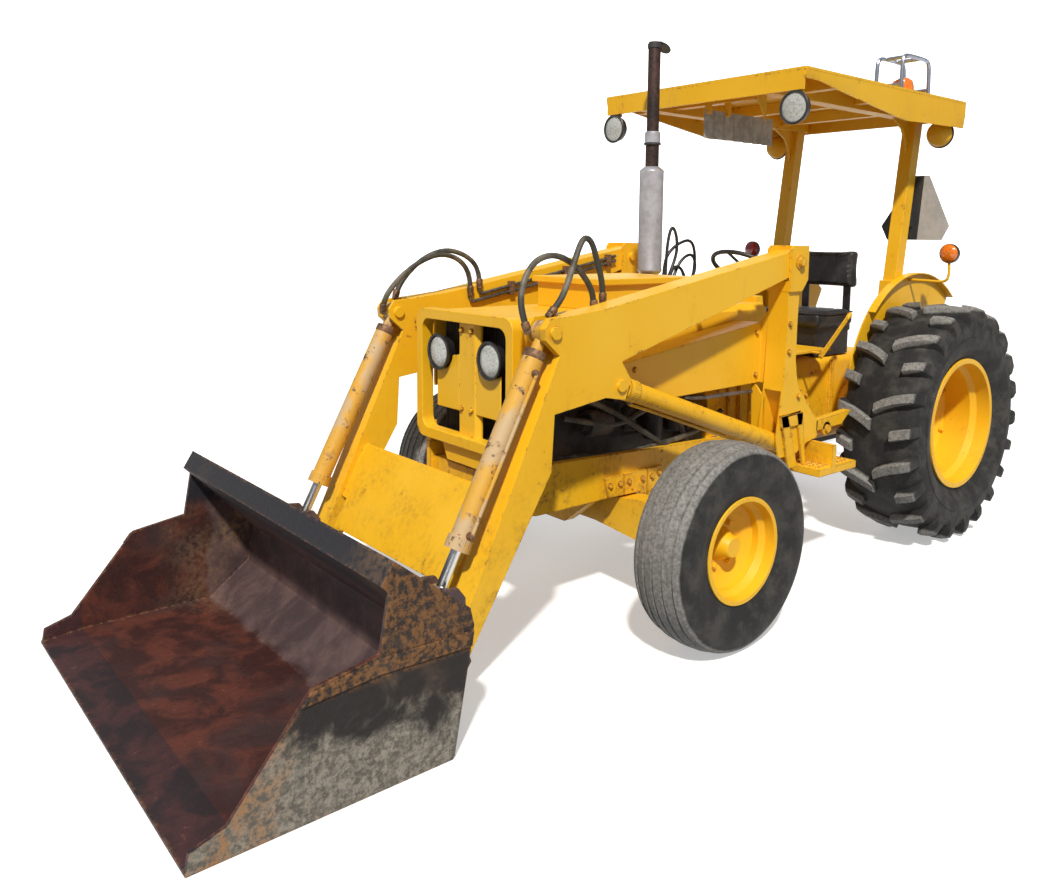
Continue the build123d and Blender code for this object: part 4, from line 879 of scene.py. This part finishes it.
# %% Bars and covers
MAST_OUT, CASE_X, RAIL_OUT = 600, 180, 330
made = bmesh.new()
for side in (1, -1):
    for outline in ([(418, 800), (470, 800), (562, 541), (488, 541)],
                    [(540, 800), (590, 800), (630, 541), (604, 541)],
                    [(418, 800), (590, 800), (588, 742), (424, 742)]):
        side_plate(made, outline, side * MAST_OUT, side * 12)
    side_plate(made, [(725, 688), (725, 741), (1033, 760), (952, 696)], side * (MAST_OUT - 45), side * 45)
    front_plate(made, [(side * 425, 938), (side * 452, 926), (side * 498, 874), (side * 498, 670),
                       (side * 433, 670)],
                428, 14)
    side_plate(made, [(-454, 592), (-341, 595), (-341, 503), (-429, 506)], side * RAIL_OUT, side * 14)
    side_plate(made, [(-335, 595), (-195, 598), (-195, 457), (-234, 457), (-234, 501), (-335, 503)],
               side * RAIL_OUT, side * 14)
    side_plate(made, [(-189, 598), (-96, 600), (-96, 540), (-130, 470), (-189, 457)], side * RAIL_OUT,
               side * 14)
    side_plate(made, [(200, 640), (470, 640), (470, 520), (200, 520)], side * RAIL_OUT, side * 12)
    for y in (350, 640, 1480):
        block(made, (side * CASE_X, y, 500), (side * (CASE_X + 20), y + 24, 930))
    for y in (480, 560):
        block(made, (side * CASE_X, y - 7, 535), (side * (CASE_X + 14), y + 7, 895))
    side_plate(made, [(735, 640), (775, 635), (945, 635), (985, 640), (985, 820), (945, 825), (775, 825),
                      (735, 820)],
               side * CASE_X, side * 14)
    place = pointing(mm(side * CASE_X, 1180, 700), (side, 0, 0))
    turned(made, place, [(0, 95), (14, 95), (14, 48), (38, 48), (38, 0)], 32)
    turned(made, pointing(mm(side * (MAST_OUT - 45), 818, 690), (side, 0, 0)),
           [(0, 36), (45, 36), (45, 20), (59, 20), (59, 0)], 28)
    turned(made, pointing(mm(side * 613, 511, 1517), (side, 0, 0)),
           [(0, 34), (6, 34), (6, 22), (24, 22), (24, 0)], 28)
as_piece("frame_irons", made, "yellow_worn", eased=0.002)

# %% Rolled fender edges
FENDER_CENTRE, FENDER_R = (1908, 790), 648
made = bmesh.new()
for side in (1, -1):
    angles = [radians(a) for a in range(50, 138, 3)]
    outline = [(FENDER_CENTRE[0] + FENDER_R * cos(a), FENDER_CENTRE[1] + FENDER_R * sin(a)) for a in angles]
    outline += [(FENDER_CENTRE[0] + (FENDER_R - 8) * cos(a), FENDER_CENTRE[1] + (FENDER_R - 8) * sin(a))
                for a in reversed(angles)]
    side_plate(made, outline, side * 434, side * 44)
as_piece("fender_lips", made, "yellow", eased=0.002)

# %% Cylinders: glands, bosses and oil lines
TILT_PIN, TILT_RUN = (-963, 1274), (-0.464, -0.886)
LIFT_BASE, LIFT_RUN = (479, 654), (-0.9412, 0.3376)


def along_line(x, start, run, distance, drop=0):
    """A point at a distance along a cylinder, or that far and a drop below its line."""
    return (x, start[0] + run[0] * distance - abs(run[1]) * drop,
            start[1] + run[1] * distance - abs(run[0]) * drop)


for name, side in SIDES.items():
    x = side * 535
    place = pointing(mm(*along_line(x, TILT_PIN, TILT_RUN, 0)), (0, *TILT_RUN))
    made = bmesh.new()
    turned(made, place, [(786, 41), (786, 47), (812, 47), (812, 44), (819, 44), (819, 47), (830, 46),
                         (830, 21)], 32)
    turned(made, place, [(76, 24), (76, 41), (84, 42.5), (104, 42.5), (108, 40.5)], 32)
    for reach in (160, 770):
        turned(made, pointing(mm(*along_line(x, TILT_PIN, TILT_RUN, reach)), (side, 0, 0)),
               [(38, 15), (48, 15), (48, 11), (58, 11), (58, 0)], 12)
    as_piece("tilt_fittings_" + name, made, "rusty", "tilt_barrel_" + name, 0.001)
    line = [along_line(x + side * off, TILT_PIN, TILT_RUN, s)
            for off, s in ((44, 160), (52, 162), (54, 180), (51, 300), (52, 520), (50, 690), (53, 750),
                           (52, 768), (44, 770))]
    bent("tilt_oil_line_" + name, [line], 7, "barrel", "tilt_barrel_" + name)
    x = side * 545
    place = pointing(mm(*along_line(x, LIFT_BASE, LIFT_RUN, 0)), (0, *LIFT_RUN))
    made = bmesh.new()
    turned(made, place, [(1041, 42), (1041, 47), (1079, 47), (1079, 44), (1085, 44), (1085, 47), (1100, 46),
                         (1100, 23)], 32)
    for reach in (200, 1050):
        low = mm(*along_line(x, LIFT_BASE, LIFT_RUN, reach, 40))
        turned(made, pointing(low, (0, -LIFT_RUN[1], -abs(LIFT_RUN[0]))), [(-4, 14), (8, 14), (8, 10),
                                                                           (16, 10), (16, 0)], 12)
    as_piece("lift_fittings_" + name, made, "rusty", "lift_barrel_" + name, 0.001)
    line = [along_line(x, LIFT_BASE, LIFT_RUN, s, drop)
            for s, drop in ((200, 44), (202, 54), (230, 52), (420, 50), (640, 52), (860, 50), (1020, 53),
                            (1048, 54), (1050, 44))]
    bent("lift_oil_line_" + name, [line], 7, "yellow_worn", "lift_barrel_" + name)

# %% Bucket wear strips
made = bmesh.new()
for side in (1, -1):
    side_plate(made, [(-2040, 378), (-1826, 410), (-1496, 402), (-1504, 352), (-1822, 362), (-2068, 342)],
               side * 845, side * 7)
as_piece("wear_strips", made, "bucket", "bucket", 0.002)


# %% [markdown]
# ## Canopy
# The roof's turned-down edges were bent by knocks, and they are deeper behind than in front. A strip of
# many short faces along the edge takes both: its lower line follows the real outline, and its middle is
# pushed in and out a little by a sum of sines. A corrugated panel hangs under the middle on two straps.

# %% Bent roof edges and the hanging panel
ROOF_HALF, ROOF_TOP = 643, 2390
EDGE_STEPS = 60


def between_points(outline, y):
    """The height of an outline of (y, z) points at y."""
    for (y0, z0), (y1, z1) in zip(outline, outline[1:]):
        if y0 <= y <= y1:
            return z0 + (z1 - z0) * (y - y0) / (y1 - y0)
    return outline[-1][1]


edge_low = [(455, 2340), (560, 2338), (1336, 2232), (1997, 2246)]
made = bmesh.new()
for side in (1, -1):
    rows = []
    for step in range(EDGE_STEPS + 1):
        y = 459 + (1993 - 459) * step / EDGE_STEPS
        low = between_points(edge_low, y)
        knock = 5 * sin(y / 61 + side) * sin(y / 173) + 3 * sin(y / 29)
        column = [(ROOF_HALF - 1, ROOF_TOP - 4), (ROOF_HALF - 1, (ROOF_TOP + low) / 2),
                  (ROOF_HALF - 7 + knock * 0.6, low), (ROOF_HALF - 15 + knock * 0.6, low + 2),
                  (ROOF_HALF - 13, ROOF_TOP - 8)]
        rows.append([made.verts.new(mm(side * x, y, z)) for x, z in column])
    for first, last in zip(rows, rows[1:]):
        for i, j in zip(range(5), [1, 2, 3, 4, 0]):
            made.faces.new((first[i], first[j], last[j], last[i]))
    made.faces.new(rows[0])
    made.faces.new(rows[-1])
as_piece("roof_edges", made, "yellow", stands_for=("roof_side_flanges",))
made = bmesh.new()
waves, panel_from, panel_to = 14, 539, 1113
ridge = [(9 if i % 2 else -9, panel_from + i * (panel_to - panel_from) / waves) for i in range(waves + 1)]
sawn(made, [mm(x, y, 2128) for x, y in ridge + [(x + 3, y) for x, y in reversed(ridge)]], mm(0, 0, 142))
as_piece("hanging_panel", made, "panel")
made = bmesh.new()
for y, top in ((715, 2318), (560, 2378)):
    block(made, (-13, y - 12, 2250), (13, y + 12, top))
for side in (1, -1):
    sawn(made, [mm(side * 390 - 8, y, z) for y, z in ((1665, 2298), (1856, 2298), (1828, 2108), (1812, 2180),
                                                       (1770, 2245))], mm(16, 0, 0))
    side_plate(made, [(480, 2298), (560, 2298), (560, 2180)], side * 352, side * 6)
as_piece("canopy_irons", made, "yellow", eased=0.001)

# %% Rear plate, with painted shade on its dark half
# The plate is grey. Its dark half is painted shade, a shaded copy of the same plate beside the lit half.
dark, pale = bmesh.new(), bmesh.new()
front_plate(dark, [(425 + x, 1700 + z) for x, z in ((-165, -75), (20, -75), (45, 290), (-15, 290),
                                                    (-205, 5))], 1905, 4)
front_plate(pale, [(425 + x, 1700 + z) for x, z in ((20, -75), (165, -75), (205, 5), (75, 290), (45, 290))],
            1905, 4)
block(dark, (390, 1858, 1700), (415, 1905, 1780))
as_piece("rear_plate_dark", dark, "shaded_and_black_plate", eased=0.001, stands_for=("rear_triangle",))
as_piece("rear_plate_pale", pale, "plate", eased=0.001)


# %% [markdown]
# ## Driver's place
# The steering wheel is a turned rim on a column with three flat spokes. Beside the muffler some hoses and
# wires come up in loops from the valve to the instruments, and a hand lever stands at the platform's left
# edge.

# %% Steering wheel, loops and lever
COLUMN_FOOT, COLUMN_TOP = (0, 760, 1180), (0, 920, 1455)
column = pointing(mm(*COLUMN_FOOT), mm(*COLUMN_TOP) - mm(*COLUMN_FOOT))
RIM_AT, RIM_R, GRIP_R = 318, 193, 12
made = bmesh.new()
grip = [(RIM_AT + GRIP_R * sin(2 * pi * i / 12), RIM_R + GRIP_R * cos(2 * pi * i / 12)) for i in range(13)]
turned(made, column, grip, 64)
turned(made, column, [(60, 22), (250, 22), (254, 30), (290, 30), (294, 20), (300, 20), (300, 42), (326, 40),
                      (330, 0)], 28)
for turn in (90, 210, 330):
    spoke = column @ Matrix.Rotation(radians(turn), 4, "Z")
    outline = [spoke @ mm(u, v, 312) for u, v in ((30, -12), (190, -9), (190, 9), (30, 12))]
    sawn(made, outline, (spoke.to_3x3() @ Vector((0, 0, 0.006))))
as_piece("steering_wheel_rim", made, "black", stands_for=("steering_wheel",))
loops = [
    [(-400, 705, 1330), (-402, 712, 1480), (-404, 726, 1610), (-400, 753, 1693), (-396, 790, 1640),
     (-400, 802, 1540), (-405, 760, 1440), (-400, 712, 1360)],
    [(-398, 745, 1340), (-404, 800, 1450), (-402, 870, 1520), (-398, 939, 1530), (-400, 968, 1450),
     (-402, 930, 1380), (-398, 876, 1370), (-400, 820, 1340)],
    [(-408, 700, 1350), (-410, 702, 1486), (-406, 760, 1560), (-402, 840, 1600), (-400, 909, 1612),
     (-402, 950, 1570), (-400, 960, 1480), (-398, 940, 1400)],
    [(-392, 715, 1345), (-388, 735, 1430), (-390, 790, 1470), (-388, 850, 1430), (-390, 870, 1350)],
]
bent("instrument_hoses", loops, 9, "black")
made = bmesh.new()
block(made, (-440, 690, 1290), (-360, 800, 1350))
block(made, (-425, 800, 1300), (-375, 965, 1345))
block(made, (-360, 700, 1290), (-230, 760, 1316))
as_piece("valve_block", made, "casting", eased=0.004)
made = bmesh.new()
side_plate(made, [(1118, 1000), (1142, 984), (1390, 1186), (1378, 1204)], 340, 10)
turned(made, pointing(mm(290, 1130, 1016), (1, 0, 0)), [(0, 0), (0, 7), (55, 7), (55, 0)], 16)
turned(made, pointing(mm(345, 1370, 1184), (0, 0.775, 0.632)),
       [(0, 8), (22, 13), (40, 14), (52, 9), (54, 0)], 20)
as_piece("hand_lever", made, "yellow_worn", eased=0.001)
levers = [[(x, 1010, 1024), (x + 6, 990, 1120), (x + 10, 960, 1230)] for x in (120, 160, -150)]
bent("gear_levers", levers, 7, "steel")
made = bmesh.new()
for route in levers:
    turned(made, pointing(mm(*route[-1]), (0.03, -0.26, 0.96)),
           [(-6, 0), (-4, 12), (10, 18), (24, 16), (32, 0)], 20)
as_piece("lever_knobs", made, "black")


# %% [markdown]
# ## Between the bonnet and the arms
# The engine is one plain block in the solids. What hides it on the real machine is a thicket of oil lines,
# filters and brackets, all dark with grease, so a few of each are set in front of its side, none of them in
# any moving part's path.

# %% Engine dressings
made = bmesh.new()
for side in (1, -1):
    for y, z, radius, long in ((-60, 700, 46, 150), (80, 720, 38, 130), (-220, 760, 34, 110)):
        place = pointing(mm(side * 245, y, z), (0, 0, 1))
        turned(made, place, [(0, 0), (0, radius - 5), (6, radius), (long - 14, radius), (long, radius - 10),
                             (long, 0)], 28)
    block(made, (side * 192, -330, 900), (side * 262, 180, 940))
    block(made, (side * 200, 130, 660), (side * 290, 240, 760))
    for y in (-300, -200, -100, 0, 100):
        turned(made, pointing(mm(side * 192, y, 1010), (side, 0, 0)), [(0, 22), (30, 20), (52, 20), (52, 0)],
               16)
    turned(made, pointing(mm(side * 240, -420, 820), (0, -1, 0)), [(-70, 0), (-70, 52), (-60, 60), (50, 60),
                                                                   (60, 52), (60, 30), (90, 30), (90, 0)], 32)
as_piece("engine_fittings", made, "casting", eased=0.003)
runs = []
for side in (1, -1):
    runs += [
        [(side * 250, -640, 690), (side * 292, -560, 700), (side * 300, -300, 668), (side * 296, 40, 690),
         (side * 300, 240, 720), (side * 330, 330, 800)],
        [(side * 240, -600, 860), (side * 288, -520, 840), (side * 292, -330, 800), (side * 286, -140, 860),
         (side * 280, 60, 880), (side * 290, 210, 830), (side * 320, 300, 760)],
        [(side * 262, -500, 930), (side * 300, -420, 900), (side * 300, -200, 770), (side * 306, -20, 660),
         (side * 300, 120, 600)],
        [(side * 235, 20, 900), (side * 280, 60, 820), (side * 290, 110, 700), (side * 280, 160, 620)],
    ]
bent("engine_hoses", runs, 13, "hose")
pipes = [[(side * 300, -660, 640), (side * 306, -400, 640), (side * 306, 0, 636), (side * 300, 330, 660)]
         for side in (1, -1)]
pipes += [[(side * 430, -60, 920), (side * 430, 60, 900), (side * 440, 220, 905), (side * 450, 400, 900)]
          for side in (1, -1)]
bent("engine_pipes", pipes, 9, "steel")
print("engine hoses:", len(runs), "pipes:", len(pipes))


# %% [markdown]
# ## What repeats
# Bolts, radiator fins and the step's grip rings are the same small shape set out at many places. One
# Geometry Nodes tree does all of them: each place is a point with an aim, each gets the shape with a random
# turn, and at the end the copies are made real, because the exported model drops instances.

# %% The tree that sets shapes out
def set_out_tree():
    tree = bpy.data.node_groups.new("set_out", "GeometryNodeTree")
    for label, kind in (("Places", "Geometry"), ("Shape", "Object"), ("Size", "Float"),
                        ("Most turn", "Float"), ("Seed", "Int"), ("Finish", "Material")):
        tree.interface.new_socket(label, in_out="INPUT", socket_type="NodeSocket" + kind)
    tree.interface.new_socket("Set out", in_out="OUTPUT", socket_type="NodeSocketGeometry")
    given, result = tree.nodes.new("NodeGroupInput"), tree.nodes.new("NodeGroupOutput")
    shape = tree.nodes.new("GeometryNodeObjectInfo")
    aim = tree.nodes.new("GeometryNodeInputNamedAttribute")
    align = tree.nodes.new("FunctionNodeAlignRotationToVector")
    chance = tree.nodes.new("FunctionNodeRandomValue")
    turn, spin = tree.nodes.new("FunctionNodeRotateRotation"), tree.nodes.new("ShaderNodeCombineXYZ")
    place = tree.nodes.new("GeometryNodeInstanceOnPoints")
    real = tree.nodes.new("GeometryNodeRealizeInstances")
    paint = tree.nodes.new("GeometryNodeSetMaterial")
    aim.data_type = "FLOAT_VECTOR"
    aim.inputs["Name"].default_value = "aim"
    align.axis = "Z"
    turn.rotation_space = "LOCAL"
    chance_max = next(s for s in chance.inputs if s.name == "Max" and s.type == "VALUE")
    chance_value = next(s for s in chance.outputs if s.type == "VALUE")
    for start, end in (
            (given.outputs["Shape"], shape.inputs["Object"]),
            (aim.outputs["Attribute"], align.inputs["Vector"]), (given.outputs["Most turn"], chance_max),
            (given.outputs["Seed"], chance.inputs["Seed"]), (chance_value, spin.inputs["Z"]),
            (align.outputs["Rotation"], turn.inputs["Rotation"]),
            (spin.outputs["Vector"], turn.inputs["Rotate By"]),
            (given.outputs["Places"], place.inputs["Points"]),
            (shape.outputs["Geometry"], place.inputs["Instance"]),
            (turn.outputs["Rotation"], place.inputs["Rotation"]),
            (given.outputs["Size"], place.inputs["Scale"]),
            (place.outputs["Instances"], real.inputs["Geometry"]),
            (real.outputs["Geometry"], paint.inputs["Geometry"]),
            (given.outputs["Finish"], paint.inputs["Material"]),
            (paint.outputs["Geometry"], result.inputs["Set out"])):
        tree.links.new(start, end)
    return tree


SET_OUT = set_out_tree()


def set_out(name, shape, places, finish, body="root", size=1.0, most_turn=0.0, seed=4):
    """Copies of a small shape at (point, aim) places, in millimetres, as one plain mesh on one body."""
    shape_mesh = bpy.data.meshes.new(name + "_shape")
    shape.to_mesh(shape_mesh)
    shape_object = bpy.data.objects.new(name + "_shape", shape_mesh)
    mesh = bpy.data.meshes.new(name + "_places")
    mesh.from_pydata([mm(*point) for point, _ in places], [], [])
    aims = mesh.attributes.new("aim", "FLOAT_VECTOR", "POINT")
    for item, (_, aim) in zip(aims.data, places):
        item.vector = aim
    source = bpy.data.objects.new(name + "_places", mesh)
    for helper in (shape_object, source):
        bpy.context.scene.collection.objects.link(helper)
    modifier = source.modifiers.new("set_out", "NODES")
    modifier.node_group = SET_OUT
    values = {"Shape": shape_object, "Size": size, "Most turn": most_turn, "Seed": seed,
              "Finish": finishes[finish]}
    for socket in SET_OUT.interface.items_tree:
        if socket.in_out == "INPUT" and socket.name in values:
            modifier[socket.identifier] = values[socket.name]
    found = source.evaluated_get(bpy.context.evaluated_depsgraph_get())
    result = bpy.data.meshes.new_from_object(found)
    made = bmesh.new()
    made.from_mesh(result)
    for helper in (source, shape_object):
        bpy.data.objects.remove(helper)
    bpy.data.meshes.remove(result)
    print(name + ":", len(places))
    return as_piece(name, made, finish, body)


def bolt_shape(across=22.0, high=12.0):
    """A washer and a hexagon head with its corners taken off, standing on its base."""
    made = bmesh.new()
    place = Matrix.Identity(4)
    turned(made, place, [(0, 0), (0, across * 0.62), (high * 0.2, across * 0.62), (high * 0.2, 0)], 14)
    turned(made, place, [(high * 0.2, across * 0.5), (high * 0.85, across * 0.5), (high, across * 0.40),
                         (high, 0)], 6)
    return made


def circle_of(count, centre, radius, aim_x, start=0.0):
    """Places on a circle about a wheel's or cover's centre, all aiming along X."""
    x, y, z = centre
    return [((x, y + radius * cos(start + 2 * pi * i / count), z + radius * sin(start + 2 * pi * i / count)),
             (aim_x, 0, 0)) for i in range(count)]


# %% Bolts
for name, side in SIDES.items():
    rear = (side * 557, REAR_AXLE[0] * 1000, REAR_AXLE[1] * 1000)
    front = (side * 845, FRONT_AXLE[0] * 1000, FRONT_AXLE[1] * 1000)
    set_out("rear_wheel_nuts_" + name, bolt_shape(30, 22), circle_of(8, rear, 157, side), "yellow_clean",
            "rear_wheel_" + name, most_turn=1.0)
    set_out("rim_clamp_bolts_" + name, bolt_shape(24, 16),
            circle_of(8, (side * 612, rear[1], rear[2]), 282, side, 0.39), "yellow_clean",
            "rear_wheel_" + name, most_turn=1.0)
    set_out("front_wheel_nuts_" + name, bolt_shape(24, 18), circle_of(6, front, 91, side), "yellow_clean",
            "front_wheel_" + name, most_turn=1.0)
places = []
for side in (1, -1):
    places += [((side * 344, y, z), (side, 0, 0)) for y, z in ((-425, 560), (-365, 560), (-310, 560),
                                                               (-225, 560), (-165, 560), (-120, 570),
                                                               (-215, 480), (-160, 490))]
    places += [((side * 342, y, z), (side, 0, 0)) for y, z in ((225, 615), (445, 615), (225, 545),
                                                               (445, 545))]
    places += [((side * 194, y, z), (side, 0, 0)) for y in (755, 860, 965) for z in (655, 805)]
    places += circle_of(8, (side * 194, 1180, 700), 80, side)
    places += [((side * 440, y, z), (side, 0, 0)) for y, z in ((1500, 1180), (1560, 1290), (1400, 1010))]
    places += [((side * 602, y, z), (side, 0, 0)) for y, z in ((470, 1230), (470, 1100), (560, 880),
                                                               (500, 700))]
    places += [((side * 452, y, z), (side, 0, 0)) for y, z in ((-400, 1075), (420, 980), (420, 1180))]
places += [((x, -930, z), (0, -1, 0)) for x in (-35, 35) for z in (900, 1230)]
set_out("frame_bolts", bolt_shape(22, 12), places, "yellow_worn", most_turn=1.0)

# %% Radiator fins and step grips
fin = bmesh.new()
block(fin, (-1.5, -3, -275), (1.5, 3, 275))
fins = [((x, -853, 970), (0, 0, 1)) for x in range(-264, 265, 11)]
set_out("radiator_fins", fin, fins, "casting")
ring = bmesh.new()
turned(ring, Matrix.Identity(4), [(0, 13), (5, 11), (6, 9), (4, 7), (0, 6)], 16)
grips = [((side * x, y, 541), (0, 0, 1)) for side in (1, -1) for x in range(528, 694, 32) for y in range(612,
    690, 34)]
grips += [((side * x, y, 541), (0, 0, 1)) for side in (1, -1) for x in range(528, 694,
                                                                             32) for y in range(736, 890, 34)]
set_out("step_grips", ring, grips, "yellow_worn")


# %% [markdown]
# ## The seat
# Each seat pad is a stuffed vinyl cover. A box a little smaller than the real pad is remeshed into small
# even faces and blown up by cloth pressure for twenty frames, with no point let go too far. Then the sewn
# channels are pressed in, and a piped seam goes round.

# %% Stuffed pads
START_IN, VOXEL, PRESSURE, MOST_MOVE = 0.010, 0.006, 4.0, 0.011
CLOTH_FRAMES, CORNER_SHARE = 20, 0.32
CHANNEL_DEEP, CHANNEL_WIDE = 0.007, 0.009


def stuffed_pad(name, low, high, channels, up, body="root", stands_for=()):
    """A pad between two corners, with channels at some x, pressed in on the side that faces up."""
    start = bmesh.new()
    size = high - low - Vector((START_IN, START_IN, START_IN)) * 2
    placed = Matrix.Translation((low + high) / 2) @ Matrix.Diagonal((*size, 1))
    bmesh.ops.create_cube(start, size=1, matrix=placed)
    bmesh.ops.bevel(start, geom=start.edges[:], offset=min(size) * CORNER_SHARE, segments=5, affect="EDGES",
                    profile=0.5)
    mesh = bpy.data.meshes.new(name)
    start.to_mesh(mesh)
    start.free()
    pad = bpy.data.objects.new(name, mesh)
    bpy.context.scene.collection.objects.link(pad)
    even = pad.modifiers.new("even", "REMESH")
    even.mode = "VOXEL"
    even.voxel_size = VOXEL
    graph = bpy.context.evaluated_depsgraph_get()
    pad.data = bpy.data.meshes.new_from_object(pad.evaluated_get(graph))
    pad.modifiers.clear()
    rest = [v.co.copy() for v in pad.data.vertices]
    cloth = pad.modifiers.new("cloth", "CLOTH")
    cloth.settings.use_pressure = True
    cloth.settings.uniform_pressure_force = PRESSURE
    cloth.settings.effector_weights.gravity = 0
    for frame_number in range(1, CLOTH_FRAMES + 1):
        bpy.context.scene.frame_set(frame_number)
    blown = bpy.data.meshes.new_from_object(pad.evaluated_get(bpy.context.evaluated_depsgraph_get()))
    pad.modifiers.clear()
    pad.data = blown
    for vertex, place in zip(blown.vertices, rest):
        move = vertex.co - place
        if move.length > MOST_MOVE:
            vertex.co = place + move * (MOST_MOVE / move.length)
    bpy.context.scene.frame_set(1)
    for vertex in pad.data.vertices:
        facing = vertex.normal.dot(up)
        for channel in channels:
            near = 1 - abs(vertex.co.x - channel) / CHANNEL_WIDE
            if near > 0 and facing > 0.2:
                vertex.co -= up * CHANNEL_DEEP * near * near * (3 - 2 * near)
        vertex.co.x = min(max(vertex.co.x, low.x), high.x)
        vertex.co.y = min(max(vertex.co.y, low.y), high.y)
        vertex.co.z = min(max(vertex.co.z, low.z), high.z)
    pad.data.materials.clear()
    pad.data.materials.append(finishes["vinyl"])
    pad.data.shade_smooth()
    smooth = pad.modifiers.new("smooth", "SUBSURF")
    smooth.levels = smooth.render_levels = 1
    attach(pad, body)
    if stands_for:
        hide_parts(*stands_for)
    print(name + ":", len(pad.data.vertices), "points")
    return pad


stuffed_pad("seat_pad", Vector((-0.23, 1.28, 1.12)), Vector((0.23, 1.68, 1.22)), (-0.115, 0, 0.115),
            Vector((0, 0, 1)), stands_for=("seat_cushion",))
stuffed_pad("seat_back_pad", Vector((-0.215, 1.64, 1.33)), Vector((0.215, 1.73, 1.57)), (-0.1, 0.1),
            Vector((0, -1, 0)), stands_for=("seat_back",))

# %% Seat struts and piping
made = bmesh.new()
for x in (-140, 140):
    sawn(made, [mm(x - 22, 1690, 1100), mm(x + 22, 1690, 1100), mm(x + 22, 1690, 1420),
                mm(x - 22, 1690, 1420)],
         mm(0, 16, 0))
front_plate(made, [(-165, 1092), (165, 1092), (165, 1130), (-165, 1130)], 1682, 26)
as_piece("seat_struts", made, "black", eased=0.003)
PIPING_Z = 1206
piping = [(-200, 1300), (200, 1300), (216, 1316), (216, 1644), (200, 1662), (-200, 1662), (-216, 1644),
          (-216, 1316), (-200, 1300)]
bent("seat_piping", [[(x, y, PIPING_Z) for x, y in piping]], 4, "vinyl")


# %% [markdown]
# ## Eased edges
# Real plate has no knife edge. The main solids are copied, their loose triangles are merged back into whole
# faces, and a bevel of a few millimetres is laid on every sharp edge, so that each catches a thin line of
# light.

# %% Eased copies of the main solids
def eased_copy(node, finish, body, width):
    made = bmesh.new()
    made.from_mesh(nodes[node].data)
    bmesh.ops.remove_doubles(made, verts=made.verts, dist=2e-5)
    bmesh.ops.dissolve_limit(made, angle_limit=radians(1.0), verts=made.verts, edges=made.edges)
    return as_piece("eased_" + node, made, finish, body, width, (node,))


eased = {
    "loader_arms": ("yellow", "loader_arms", 0.004), "masts": ("yellow", "root", 0.003),
    "side_beams": ("yellow", "root", 0.004), "hood": ("yellow", "root", 0.003),
    "hood_tank": ("yellow", "root", 0.004), "rops_posts": ("yellow", "root", 0.004),
    "canopy_frame": ("yellow", "root", 0.003), "front_frame": ("yellow_worn", "root", 0.003),
    "platform": ("yellow_worn", "root", 0.002), "console": ("yellow", "root", 0.004),
    "steps": ("yellow_worn", "root", 0.002), "transmission": ("yellow_worn", "root", 0.004),
    "bucket": ("bucket", "bucket", 0.003), "canopy_cross_members": ("yellow", "root", 0.003),
}
for node, (finish, body, width) in eased.items():
    eased_copy(node, finish, body, width)
print("eased solids:", len(eased))
